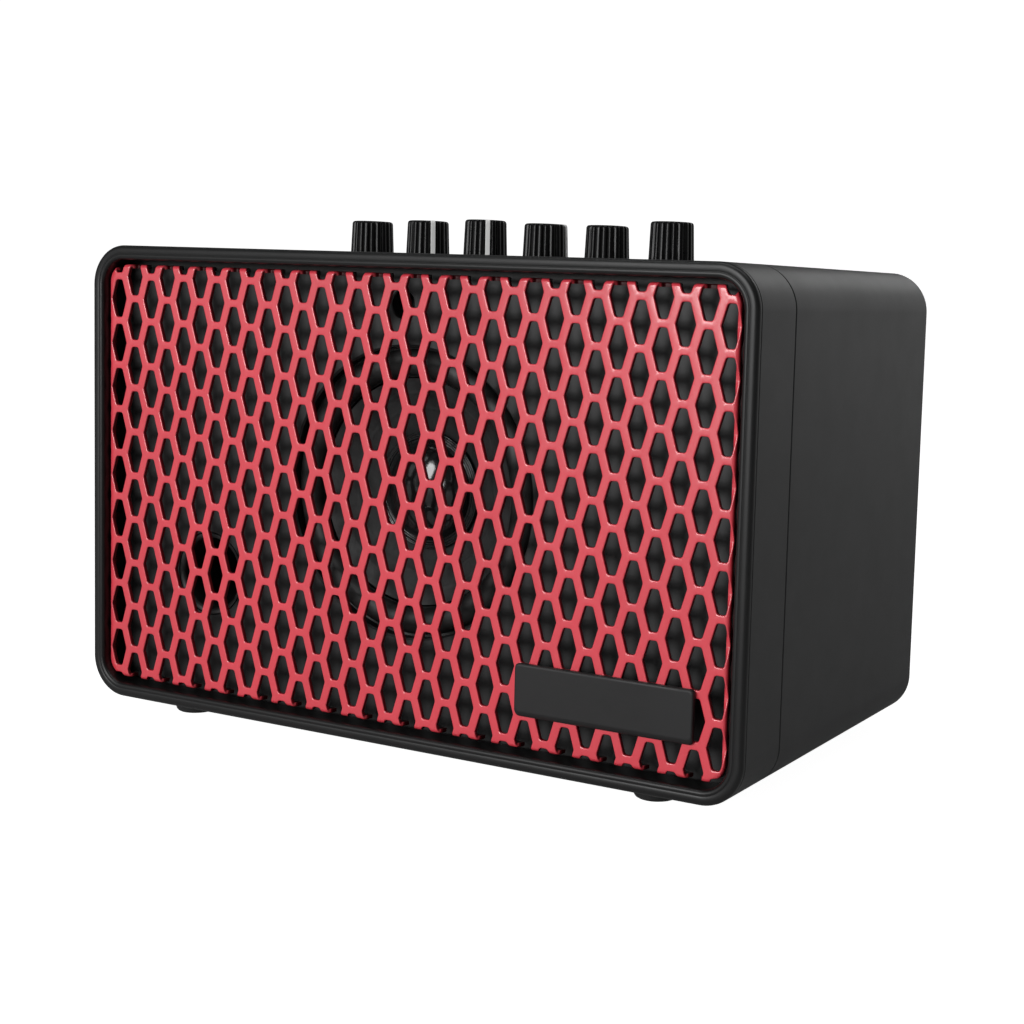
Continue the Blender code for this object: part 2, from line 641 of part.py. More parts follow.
def flange_outline():
    """Circle that swells into an ear round each screw."""
    points = []
    for i in range(BASKET_SEGMENTS):
        angle = 2 * math.pi * i / BASKET_SEGMENTS
        radius = FLANGE_RADIUS
        for screw_angle in SPEAKER_SCREW_ANGLES:
            turn = angle - math.radians(screw_angle)
            turn = math.atan2(math.sin(turn), math.cos(turn))
            reach = EAR_RADIUS ** 2 - (SPEAKER_SCREW_RING * math.sin(turn)) ** 2
            if reach > 0 and abs(turn) < 0.5:
                radius = max(radius, SPEAKER_SCREW_RING * math.cos(turn) + math.sqrt(reach))
        points.append((SPEAKER[0] + radius * math.cos(angle),
                       SPEAKER[1] + radius * math.sin(angle)))
    return points


def make_basket():
    """Flange with four ears, sloping wall with six windows, flat bottom."""
    front, back = FRONT_Y + FLANGE_FRONT, FRONT_Y + FLANGE_BACK
    flange = flange_outline()
    bowl = [(FRONT_Y + depth, circle(SPEAKER, radius, BASKET_SEGMENTS))
            for radius, depth in BASKET_PROFILE]
    screw_holes = []
    for centre in SPEAKER_SCREWS:
        outline = circle(centre, SPEAKER_SCREW_HOLE_RADIUS, 8)
        screw_holes.append([(front, outline), (back, outline)])
    basket = lofted("speaker_basket", BASKET, "XZ", [(front, flange), (back, flange)],
                    [bowl] + screw_holes, smooth=35)

    near, far = WINDOW_REACH
    half = WINDOW_HALF_WIDTH
    for k in range(WINDOW_COUNT):
        angle = math.radians(360 / WINDOW_COUNT * k)
        cosine, sine = math.cos(angle), math.sin(angle)
        window = [(SPEAKER[0] + radius * cosine - offset * sine,
                   SPEAKER[1] + radius * sine + offset * cosine)
                  for radius, offset in ((near, -half), (far, -half), (far, half), (near, half))]
        cut(basket, f"tool_basket_window_{k}", "XZ", window,
            FRONT_Y + WINDOW_DEPTHS[0], FRONT_Y + WINDOW_DEPTHS[1])


def make_surround():
    """Glued rim, half roll, inner rim."""
    def roll(radius, depth):
        return [(ROLL_CENTRE + radius * math.cos(math.pi * i / 5),
                 depth - ROLL_HEIGHT * math.sin(math.pi * i / 5)) for i in range(6)]

    rim, inner_rim = SURROUND_RADII
    profile = [(rim, SURROUND_FRONT), *roll(ROLL_RADIUS, SURROUND_FRONT),
               (inner_rim, SURROUND_FRONT), (inner_rim, SURROUND_BACK),
               *roll(ROLL_RADIUS - SURROUND_THICKNESS, SURROUND_BACK)[::-1],
               (rim, SURROUND_BACK)]
    speaker_turned("speaker_surround", RUBBER, profile, 28, smooth=60)


def cone_depth(radius):
    return SURROUND_BACK + (CONE_RADII[0] - radius) * CONE_SLOPE


def make_cone():
    front = [(radius, cone_depth(radius)) for radius in CONE_RADII]
    back = [(radius, depth + CONE_THICKNESS) for radius, depth in reversed(front)]
    speaker_turned("speaker_cone", CONE, front + back, 32, smooth=60)


def make_dust_cap():
    def dome(radius, rise, depth):
        angles = [math.radians(90 * i / 4) for i in range(5)]
        return [(radius * math.sin(angle), depth - rise * math.cos(angle)) for angle in angles]

    base = cone_depth(CAP_RIM_RADIUS) - 0.35
    front, back = base - 0.9, base - 0.3
    profile = [*dome(13.6, 5.6, front), (CAP_RIM_RADIUS, front), (CAP_RIM_RADIUS, back),
               *dome(12.9, 5.5, back)[::-1]]
    speaker_turned("speaker_dust_cap", DUST_CAP, profile, 24, smooth=60)


def make_spider():
    """Flat rims and three corrugations."""
    inner, outer = SPIDER_RADII
    front = []
    for i in range(SPIDER_STEPS + 1):
        wave = 0.0 if i in (0, SPIDER_STEPS) else SPIDER_WAVE * (-1) ** i
        front.append((inner + (outer - inner) * i / SPIDER_STEPS, SPIDER_DEPTH + wave))
    back = [(radius, depth + SPIDER_THICKNESS) for radius, depth in reversed(front)]
    speaker_turned("speaker_spider", SPIDER, front + back, 20, smooth=60)


def make_motor():
    """Voice coil, top plate, magnet, and yoke with its pole."""
    speaker_turned("speaker_voice_coil", COIL, tube_profile(12.6, 12.05, 19.9, 37.5), 28,
                   smooth=40)
    speaker_turned("speaker_top_plate", STEEL,
                   tube_profile(YOKE_RADIUS, 13.2, TOP_PLATE_FRONT, TOP_PLATE_BACK), 28, smooth=40)
    speaker_turned("speaker_magnet", FERRITE,
                   tube_profile(32.0, 17.0, MAGNET_FRONT, MAGNET_BACK), 28, smooth=50)
    yoke = [(0.0, POLE_FRONT), (POLE_RADIUS, POLE_FRONT), (POLE_RADIUS, YOKE_FRONT),
            (YOKE_RADIUS, YOKE_FRONT), (YOKE_RADIUS, YOKE_BACK), (0.0, YOKE_BACK)]
    speaker_turned("speaker_yoke", STEEL, yoke, 28, smooth=40)


# ---------------------------------------------------------------- port
PORT_LENGTH = 45.0


def make_port():
    inner, outer = PORT_RADIUS, PORT_RADIUS + PORT_WALL
    profile = [(outer, 0.3), (outer, PORT_LENGTH), (inner, PORT_LENGTH), (inner, 1.2),
               (inner + 0.9, 0.0), (outer - 0.3, 0.0)]
    turned("port_tube", SHELL, profile, "Y", (*PORT, BAFFLE_Y), 24,
           origin=(PORT[0], BAFFLE_Y, PORT[1]), smooth=40)


# ---------------------------------------------------------------- controls on the top
KNOB_RADIUS_TOP = 5.85
KNOB_RADIUS_BASE = 6.25
KNOB_FLUTES = 20
FLUTE_DEPTH = 0.35
KNOB_BASE = 0.1                # underside above the cabinet's top
KNOB_BEVEL = 0.5               # height of the bevel at the top
KNOB_COVER = 2.6               # from the shaft's end to the knob's top
SHAFT_RADIUS = 3.0
SHAFT_FLAT = 2.3               # distance of the flat from the axis
SHAFT_BORE_RADIUS = SHAFT_RADIUS + GAP + 0.1
POT_TOP_Z = TOP_Z - WALL - GAP
POT_HEIGHT = 7.0
POT_BORE_DEPTH = 4.0


def make_control_plate():
    holes = [circle((x, 0.0), 3.7, 16) for x in KNOB_XS]
    prism("control_plate", PLATE, "XY", rounded_rect(*PANEL_HALF, PANEL_RADIUS, 3),
          PANEL_BASE_Z, TOP_Z - 0.5, holes, origin=(0, 0, PANEL_BASE_Z))


def make_control_board():
    top = POT_TOP_Z - POT_HEIGHT - GAP
    base = top - BOARD_THICKNESS
    prism("control_board", BOARD, "XY", rounded_rect(62.0, 10.0, 1.5, 2), base, top,
          origin=(0, 0, base))


def make_pot(name, x):
    """Square-cornered body with a blind bore for the shaft."""
    body = rounded_rect(5.0, 5.8, 0.6, 1)
    bore = circle((0.0, 0.0), SHAFT_BORE_RADIUS, 12)
    pot = lofted(f"{name}_pot", STEEL, "XY", [(-POT_HEIGHT, body), (0.0, body)],
                 [[(0.0, bore), (-POT_BORE_DEPTH, bore)]])
    pot.location = Vector((x, 0.0, POT_TOP_Z)) * MILLIMETRE


def make_pivot(name, x, turn):
    """Empty that carries a knob and its shaft on the turning axis."""
    pivot = bpy.data.objects.new(f"{name}_axis", None)
    bpy.context.scene.collection.objects.link(pivot)
    pivot.location = Vector((x, 0.0, TOP_Z)) * MILLIMETRE
    pivot.rotation_euler = (0.0, 0.0, math.radians(90.0 - turn))
    return pivot


def make_shaft(name, shaft_top):
    """D-shaped shaft with its flat towards local -X."""
    outline = [(max(across, -SHAFT_FLAT), up)
               for across, up in circle((0.0, 0.0), SHAFT_RADIUS, 12, math.pi / 12)]
    base = POT_TOP_Z - POT_BORE_DEPTH + GAP - TOP_Z
    return prism(f"{name}_shaft", SHAFT, "XY", outline, base, shaft_top)


def fluted(radius, depth):
    """Outline with one rib and one groove for each flute."""
    points = []
    for k in range(KNOB_FLUTES):
        for step, reach in ((0.0, radius), (0.5, radius - depth)):
            angle = 2 * math.pi * (k + step) / KNOB_FLUTES
            points.append((reach * math.cos(angle), reach * math.sin(angle)))
    return points


def make_knob(name, height, shaft_top):
    slope = (KNOB_RADIUS_BASE - KNOB_RADIUS_TOP) / height
    shoulder = height - KNOB_BEVEL
    sections = [(KNOB_BASE, fluted(KNOB_RADIUS_BASE, FLUTE_DEPTH)),
                (shoulder, fluted(KNOB_RADIUS_BASE - slope * shoulder, FLUTE_DEPTH)),
                (height, fluted(KNOB_RADIUS_TOP - 0.6, 0.1))]
    socket = circle((0.0, 0.0), SHAFT_BORE_RADIUS, 12, math.pi / 12)
    return lofted(f"{name}_knob", KNOB, "XY", sections,
                  [[(KNOB_BASE, socket), (shaft_top + GAP, socket)]], smooth=30)


def make_controls():
    make_control_plate()
    make_control_board()
    for (name, height, turn), x in zip(KNOBS, KNOB_XS):
        make_pot(name, x)
        pivot = make_pivot(name, x, turn)
        shaft_top = height - KNOB_COVER
        make_shaft(name, shaft_top).parent = pivot
        make_knob(name, height, shaft_top).parent = pivot


# ---------------------------------------------------------------- connections at the back
# centres on the plate, X and Z
INPUT, PHONES, AUX, CHARGE, LIGHT, SWITCH = [
    (x, IO_Z) for x in (-43.0, -20.0, -4.0, 13.0, 25.0, 43.0)]
INPUT_HALF_HEIGHT = 7.0
ROCKER_TILT = 8.0              # degrees
ROCKER_HALF_WIDTH = 4.8
# height above the pivot, distance towards the back
ROCKER_SIDE = (
    (-7.0, 1.6), (-6.6, 2.6), (0.0, 1.4), (6.6, 2.6), (7.0, 1.6),
    (6.2, -1.2), (2.5, -3.2), (-2.5, -3.2), (-6.2, -1.2))


def io_origin(centre):
    return (centre[0], IO_Y, centre[1])


def make_io_plate():
    cutouts = [circle(INPUT, 5.0, 20), circle(PHONES, 3.2, 16), circle(AUX, 3.2, 16),
               rounded_rect(4.8, 1.9, 1.85, 4, CHARGE), circle(LIGHT, 1.8, 12),
               rounded_rect(6.8, 9.8, 0.6, 1, SWITCH)]
    prism("io_plate", PLATE, "XZ", rounded_rect(*IO_HALF, IO_RADIUS, 3, (0.0, IO_Z)),
          IO_PLATE_Y, IO_Y - GAP, cutouts, origin=(0, IO_PLATE_Y, IO_Z))


def make_socket(name, centre, half_width, half_height, segments, bush_radius,
                bore_radius, bore_segments, inner_end, bore_end, mouth):
    """Square body, round bush through the plate, one blind bore. inner_end, bore_end
    and mouth are Y distances from IO_Y."""
    body = boxed(half_width, half_height, segments, centre)
    bush = circle(centre, bush_radius, segments)
    bore = circle(centre, bore_radius, bore_segments)
    shoulder = IO_Y - 2.0
    lofted(name, JACK, "XZ",
           [(IO_Y + inner_end, body), (shoulder, body), (shoulder, bush), (IO_Y + mouth, bush)],
           [[(IO_Y + mouth, bore), (IO_Y + bore_end, bore)]], origin=io_origin(centre))


def make_sockets():
    """Input jack for a 6.35 mm plug with its nut, and two 3.5 mm sockets."""
    make_socket("input_jack", INPUT, half_width=8.0, half_height=INPUT_HALF_HEIGHT, segments=24,
                bush_radius=4.6, bore_radius=3.4, bore_segments=16,
                inner_end=-31.0, bore_end=-29.5, mouth=2.6)
    prism("input_jack_nut", STEEL, "XZ", circle(INPUT, 7.2, 6), IO_Y, IO_Y + 2.0,
          [circle(INPUT, 5.0, 24)], origin=io_origin(INPUT))
    for name, centre in (("headphone_jack", PHONES), ("aux_jack", AUX)):
        make_socket(name, centre, half_width=4.0, half_height=3.5, segments=16,
                    bush_radius=2.85, bore_radius=1.9, bore_segments=12,
                    inner_end=-16.0, bore_end=-15.0, mouth=-0.1)


def make_charge_port():
    """Oval metal shell with an oval mouth."""
    shell = rounded_rect(4.5, 1.6, 1.55, 4, CHARGE)
    mouth = rounded_rect(4.15, 1.25, 1.2, 4, CHARGE)
    lofted("charge_port", STEEL, "XZ", [(IO_Y - 9.5, shell), (IO_Y - 0.5, shell)],
           [[(IO_Y - 0.5, mouth), (IO_Y - 7.0, mouth)]], origin=io_origin(CHARGE))


def make_status_led():
    """Round body, domed end."""
    profile = [(0.0, -6.5), (1.5, -6.5), (1.5, -0.3), (1.1, 0.5), (0.0, 0.8)]
    turned("status_led", LED, profile, "Y", (*LIGHT, IO_Y - 0.2), 16,
           origin=io_origin(LIGHT), smooth=50)


def make_power_switch():
    """Housing with a flange outside and a pocket, and the tilted rocker in it."""
    flange = rounded_rect(7.5, 10.5, 1.0, 2, SWITCH)
    neck = rounded_rect(6.5, 9.5, 0.4, 2, SWITCH)
    pocket = rounded_rect(5.2, 8.2, 0.3, 2, SWITCH)
    face = IO_Y + 1.2
    lofted("power_switch_housing", JACK, "XZ",
           [(IO_Y - 13.0, neck), (IO_Y, neck), (IO_Y, flange), (face, flange)],
           [[(face, pocket), (IO_Y - 6.5, pocket)]], origin=io_origin(SWITCH))

    side = [(outward, height) for height, outward in ROCKER_SIDE]
    rocker = prism("power_rocker", KNOB, "YZ", side, -ROCKER_HALF_WIDTH, ROCKER_HALF_WIDTH)
    rocker.location = Vector((SWITCH[0], IO_Y - 0.2, IO_Z)) * MILLIMETRE
    rocker.rotation_euler = (math.radians(-ROCKER_TILT), 0.0, 0.0)


# ---------------------------------------------------------------- main board and battery
MAIN_BOARD = (-13.5, 30.0)     # centre, X and Y
CELL_RADIUS = 9.3
PACK_Y = -10.0
PACK_HALF_LENGTH = 33.0        # along X
PACK_BEVEL = 0.6               # along X, at each end


def make_main_board():
    """Board under the sockets."""
    top = IO_Z - INPUT_HALF_HEIGHT - GAP
    prism("main_board", BOARD, "XY", rounded_rect(43.5, 17.5, 2.0, 2, MAIN_BOARD),
          top - BOARD_THICKNESS, top, origin=(*MAIN_BOARD, top))


def make_battery_pack():
    """Oblong pack on the floor, rounded at its front and rear sides."""
    centre_z = BOTTOM_Z + WALL + GAP + CELL_RADIUS

    def section(scale_y, scale_z):
        points = []
        for cell_y, start in ((CELL_RADIUS, -90), (-CELL_RADIUS, 90)):
            for i in range(13):
                angle = math.radians(start + 180 * i / 12)
                points.append((PACK_Y + scale_y * (cell_y + CELL_RADIUS * math.cos(angle)),
                               centre_z + scale_z * CELL_RADIUS * math.sin(angle)))
        return points

    full, small = section(1.0, 1.0), section(0.97, 0.94)
    shoulder = PACK_HALF_LENGTH - PACK_BEVEL
    lofted("battery_pack", BATTERY, "YZ",
           [(-PACK_HALF_LENGTH, small), (-shoulder, full), (shoulder, full),
            (PACK_HALF_LENGTH, small)], smooth=40)


make_bezel()
make_grille()
make_badge()
make_front_shell()
make_rear_shell()
make_feet()
make_screws()
make_basket()
make_surround()
make_cone()
make_dust_cap()
make_spider()
make_motor()
make_port()
make_controls()
make_io_plate()
make_sockets()
make_charge_port()
make_status_led()
make_power_switch()
make_main_board()
make_battery_pack()
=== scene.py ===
"""Looks of the small guitar amplifier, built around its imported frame.

Lengths below are in millimetres and become metres when a mesh is made. X is to the
right as seen from the front, Y from front to back, Z up from the floor.
"""

import bpy
import bmesh
import json
import math
from mathutils import Matrix, Vector


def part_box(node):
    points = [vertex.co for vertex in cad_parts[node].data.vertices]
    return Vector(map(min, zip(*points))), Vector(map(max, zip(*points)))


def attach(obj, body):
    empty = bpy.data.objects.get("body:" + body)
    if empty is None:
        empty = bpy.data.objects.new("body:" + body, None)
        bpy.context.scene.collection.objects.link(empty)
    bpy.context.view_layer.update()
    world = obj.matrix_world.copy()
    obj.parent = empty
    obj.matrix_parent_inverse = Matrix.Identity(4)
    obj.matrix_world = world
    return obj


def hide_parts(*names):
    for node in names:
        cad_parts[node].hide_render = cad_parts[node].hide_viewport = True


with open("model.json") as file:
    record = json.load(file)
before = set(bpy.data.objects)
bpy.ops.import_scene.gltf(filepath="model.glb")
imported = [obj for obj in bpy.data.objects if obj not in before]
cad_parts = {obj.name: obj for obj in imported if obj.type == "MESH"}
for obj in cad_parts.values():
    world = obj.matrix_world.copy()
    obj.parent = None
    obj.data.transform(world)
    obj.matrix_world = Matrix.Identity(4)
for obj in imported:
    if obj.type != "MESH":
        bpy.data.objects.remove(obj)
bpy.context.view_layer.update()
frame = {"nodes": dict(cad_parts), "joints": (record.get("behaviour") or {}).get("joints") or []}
scene = bpy.context.scene
MM = 0.001


def box_mm(node):
    lo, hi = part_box(node)
    return [c / MM for c in lo], [c / MM for c in hi]


# ---------------------------------------------------------------- places, from the frame
_lo, _hi = box_mm("rear_shell")
CAB_W = _hi[0] - _lo[0]
Z_BOT, Z_TOP = _lo[2], _hi[2]
YB = _hi[1]
YF = box_mm("bezel")[0][1]
ZC = (Z_BOT + Z_TOP) / 2
CAB_H = Z_TOP - Z_BOT
CAB_R = 11.15
GAP = 0.3
_lo, _hi = box_mm("front_shell")
BEZEL_LINE = _lo[1] - YF
_lo, _hi = box_mm("grille")
GRILLE_HX = (_hi[0] - _lo[0]) / 2
GRILLE_HZ = (_hi[2] - _lo[2]) / 2
GRILLE_FRONT = _lo[1] - YF
GRILLE_DEPTH = _hi[1] - _lo[1]
_lo, _hi = box_mm("speaker_surround")
SPK = ((_lo[0] + _hi[0]) / 2, (_lo[2] + _hi[2]) / 2)
_lo, _hi = box_mm("port_tube")
PORT = ((_lo[0] + _hi[0]) / 2, (_lo[2] + _hi[2]) / 2)
BAFFLE_FRONT = _lo[1] - YF
PORT_LEN = _hi[1] - _lo[1]
BAFFLE_T = 3.0
SEAM = 21.1
WALL = 3.0
KNOBS = ("gain", "bass", "middle", "treble", "reverb", "volume")
JOINT = {j["name"]: j for j in frame["joints"]}


def node_xz(node):
    lo, hi = box_mm(node)
    return (lo[0] + hi[0]) / 2, (lo[2] + hi[2]) / 2


# ---------------------------------------------------------------- outlines
def circle(cu, cv, r, n, start=0.0):
    return [(cu + r * math.cos(start + 2 * math.pi * i / n),
             cv + r * math.sin(start + 2 * math.pi * i / n)) for i in range(n)]


def rounded_rect(hu, hv, r, n=8, cu=0.0, cv=0.0):
    pts = []
    for k, (su, sv) in enumerate(((1, 1), (-1, 1), (-1, -1), (1, -1))):
        for i in range(n + 1):
            a = math.pi / 2 * (k + i / n)
            pts.append((cu + su * (hu - r) + r * math.cos(a), cv + sv * (hv - r) + r * math.sin(a)))
    return pts


def cabinet_outline(inset, n=20):
    return rounded_rect(CAB_W / 2 - inset, CAB_H / 2 - inset, max(CAB_R - inset, 1.5), n, 0.0, ZC)


def rounding(inset, w, r, turn, steps=4):
    """Points (inset, w) of a quarter round between two faces; turn names the corner."""
    pts = []
    for i in range(steps + 1):
        a = math.pi / 2 * i / steps
        s, c = math.sin(a), math.cos(a)
        if turn == "front_out":        # from the front face to the outer side
            pts.append((inset + r * (1 - s), w + r * (1 - c)))
        elif turn == "out_back":       # from the outer side to the back face
            pts.append((inset + r * (1 - c), w - r * (1 - s)))
    return pts


# ---------------------------------------------------------------- mesh building
class Shape:
    """Faces of one closed body in millimetres on a plane XY (w is Z), XZ (w is Y) or YZ (w is X)."""

    def __init__(self, plane="XY"):
        self.bm = bmesh.new()
        self.plane = plane

    def point(self, u, v, w):
        if self.plane == "XY":
            return (u, v, w)
        if self.plane == "XZ":
            return (u, w, v)
        return (w, u, v)

    def ring(self, loop, w):
        return [self.bm.verts.new(self.point(u, v, w)) for u, v in loop]

    def wall(self, a, b):
        n = len(a)
        for i in range(n):
            j = (i + 1) % n
            self.bm.faces.new((a[i], a[j], b[j], b[i]))

    def cap(self, ring):
        self.bm.faces.new(ring)

    def holed_cap(self, ring, hole_rings):
        edges = []
        for r in [ring] + hole_rings:
            for i in range(len(r)):
                e = self.bm.edges.get((r[i], r[(i + 1) % len(r)]))
                edges.append(e or self.bm.edges.new((r[i], r[(i + 1) % len(r)])))
        bmesh.ops.triangle_fill(self.bm, use_beauty=True, use_dissolve=False, edges=edges)

    def finish(self, name, mat, smooth=35, weighted=True, matrix=None):
        bm = self.bm
        bmesh.ops.recalc_face_normals(bm, faces=bm.faces[:])
        if matrix is not None:
            bmesh.ops.transform(bm, matrix=matrix, verts=bm.verts[:])
        bmesh.ops.scale(bm, vec=(MM, MM, MM), verts=bm.verts[:])
        me = bpy.data.meshes.new(name)
        bm.to_mesh(me)
        bm.free()
        me.materials.append(mat)
        ob = bpy.data.objects.new(name, me)
        scene.collection.objects.link(ob)
        shade(ob, smooth, weighted)
        return ob


def shade(ob, smooth=35, weighted=True):
    ob.data.shade_smooth()
    ob.data.set_sharp_from_angle(angle=math.radians(smooth))
    if weighted:
        m = ob.modifiers.new("even_normals", "WEIGHTED_NORMAL")
        m.keep_sharp = True
        m.weight = 50


def lofted(name, mat, plane, rings, holes=(), **kw):
    """Closed body through outlines [(w, loop), ...]; a hole is a list of (w, loop) that
    starts in one end face and stops blind, or runs out of the other end face."""
    s = Shape(plane)
    made = [s.ring(loop, w) for w, loop in rings]
    for a, b in zip(made, made[1:]):
        s.wall(a, b)
    ends = {0: [], 1: []}
    w0, w1 = rings[0][0], rings[-1][0]
    for hole in holes:
        hr = [s.ring(loop, w) for w, loop in hole]
        for a, b in zip(hr, hr[1:]):
            s.wall(a, b)
        for k, wk in ((0, w0), (1, w1)):
            for pos in (0, -1):
                if abs(hole[pos][0] - wk) < 1e-6:
                    ends[k].append(hr[pos])
        if abs(hole[-1][0] - w0) > 1e-6 and abs(hole[-1][0] - w1) > 1e-6:
            s.cap(hr[-1])
    for k, i in ((0, 0), (1, -1)):
        if ends[k]:
            s.holed_cap(made[i], ends[k])
        else:
            s.cap(made[i])
    return s.finish(name, mat, **kw)


def turned(name, mat, profile, axis, centre, segments, **kw):
    """Body of revolution from (radius, along) round Y or Z; radius 0 closes it on its axis."""
    s = Shape("XZ" if axis == "Y" else "XY")
    cu, cv, cw = centre
    rings = []
    for r, w in profile:
        if r < 1e-9:
            rings.append([s.bm.verts.new(s.point(cu, cv, cw + w))])
        else:
            rings.append(s.ring(circle(cu, cv, r, segments), cw + w))
    pairs = list(zip(rings, rings[1:]))
    if len(rings[0]) > 1 and len(rings[-1]) > 1:
        pairs.append((rings[-1], rings[0]))
    for a, b in pairs:
        if len(a) == 1 and len(b) == 1:
            continue
        if len(a) == 1 or len(b) == 1:
            tip, ring = (a[0], b) if len(a) == 1 else (b[0], a)
            for i in range(segments):
                s.bm.faces.new((tip, ring[i], ring[(i + 1) % segments]))
        else:
            s.wall(a, b)
    return s.finish(name, mat, **kw)


CUTTERS = []


def cut(ob, tool, operation="DIFFERENCE"):
    m = ob.modifiers.new(tool.name, "BOOLEAN")
    m.operation = operation
    m.solver = "EXACT"
    m.object = tool
    CUTTERS.append(tool)


def settle(ob, smooth=35):
    """Applies the modifiers and removes the cutting tools."""
    for m in [m for m in ob.modifiers if m.type == "WEIGHTED_NORMAL"]:
        ob.modifiers.remove(m)
    dg = bpy.context.evaluated_depsgraph_get()
    me = bpy.data.meshes.new_from_object(ob.evaluated_get(dg), depsgraph=dg)
    ob.modifiers.clear()
    ob.data = me
    keep = ob.data.materials[0]
    ob.data.materials.clear()
    ob.data.materials.append(keep)
    for p in ob.data.polygons:
        p.material_index = 0
    for t in CUTTERS:
        bpy.data.objects.remove(t)
    CUTTERS.clear()
    shade(ob, smooth)
    return ob


def tool_cylinder(name, plane, u, v, r, w0, w1, n=32, flare=None):
    """Cutter; flare is (w, extra radius) where it opens into a small chamfer."""
    rings = [(w0, circle(u, v, r, n)), (w1, circle(u, v, r, n))]
    if flare:
        w, extra = flare
        out = [(w - extra, circle(u, v, r, n)), (w + extra, circle(u, v, r + 2 * extra, n))]
        if w0 < w < w1 and w - w0 > w1 - w:
            rings = [(w0, circle(u, v, r, n))] + out
        else:
            rings = [(w - extra, circle(u, v, r + 2 * extra, n)), (w + extra, circle(u, v, r, n)),
                     (w1, circle(u, v, r, n))]
    return lofted(name, MAT["shell"], plane, rings, weighted=False)


def place(ob, body, slot, *nodes):
    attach(ob, body)
    if nodes:
        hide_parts(*nodes)
    return ob


# ---------------------------------------------------------------- materials
def base_material(name):
    m = bpy.data.materials.new(name)
    m.use_nodes = True
    nt = m.node_tree
    return m, nt, nt.nodes["Principled BSDF"]


def link(nt, a, b):
    nt.links.new(a, b)


def noise(nt, coords, scale, detail=2.0, rough=0.5, stretch=None):
    n = nt.nodes.new("ShaderNodeTexNoise")
    n.inputs["Scale"].default_value = scale
    n.inputs["Detail"].default_value = detail
    n.inputs["Roughness"].default_value = rough
    if stretch:
        mp = nt.nodes.new("ShaderNodeMapping")
        mp.inputs["Scale"].default_value = stretch
        link(nt, coords, mp.inputs["Vector"])
        link(nt, mp.outputs["Vector"], n.inputs["Vector"])
    else:
        link(nt, coords, n.inputs["Vector"])
    return n.outputs["Fac"]


def ranged(nt, value, a0, a1, b0, b1):
    r = nt.nodes.new("ShaderNodeMapRange")
    link(nt, value, r.inputs["Value"])
    for key, val in (("From Min", a0), ("From Max", a1), ("To Min", b0), ("To Max", b1)):
        r.inputs[key].default_value = val
    return r.outputs["Result"]


def mixed(nt, fac, ca, cb):
    mx = nt.nodes.new("ShaderNodeMix")
    mx.data_type = "RGBA"
    if hasattr(fac, "links"):
        link(nt, fac, mx.inputs[0])
    else:
        mx.inputs[0].default_value = fac
    for i, c in ((6, ca), (7, cb)):
        if hasattr(c, "links"):
            link(nt, c, mx.inputs[i])
        else:
            mx.inputs[i].default_value = (*c, 1.0)
    return mx.outputs[2]


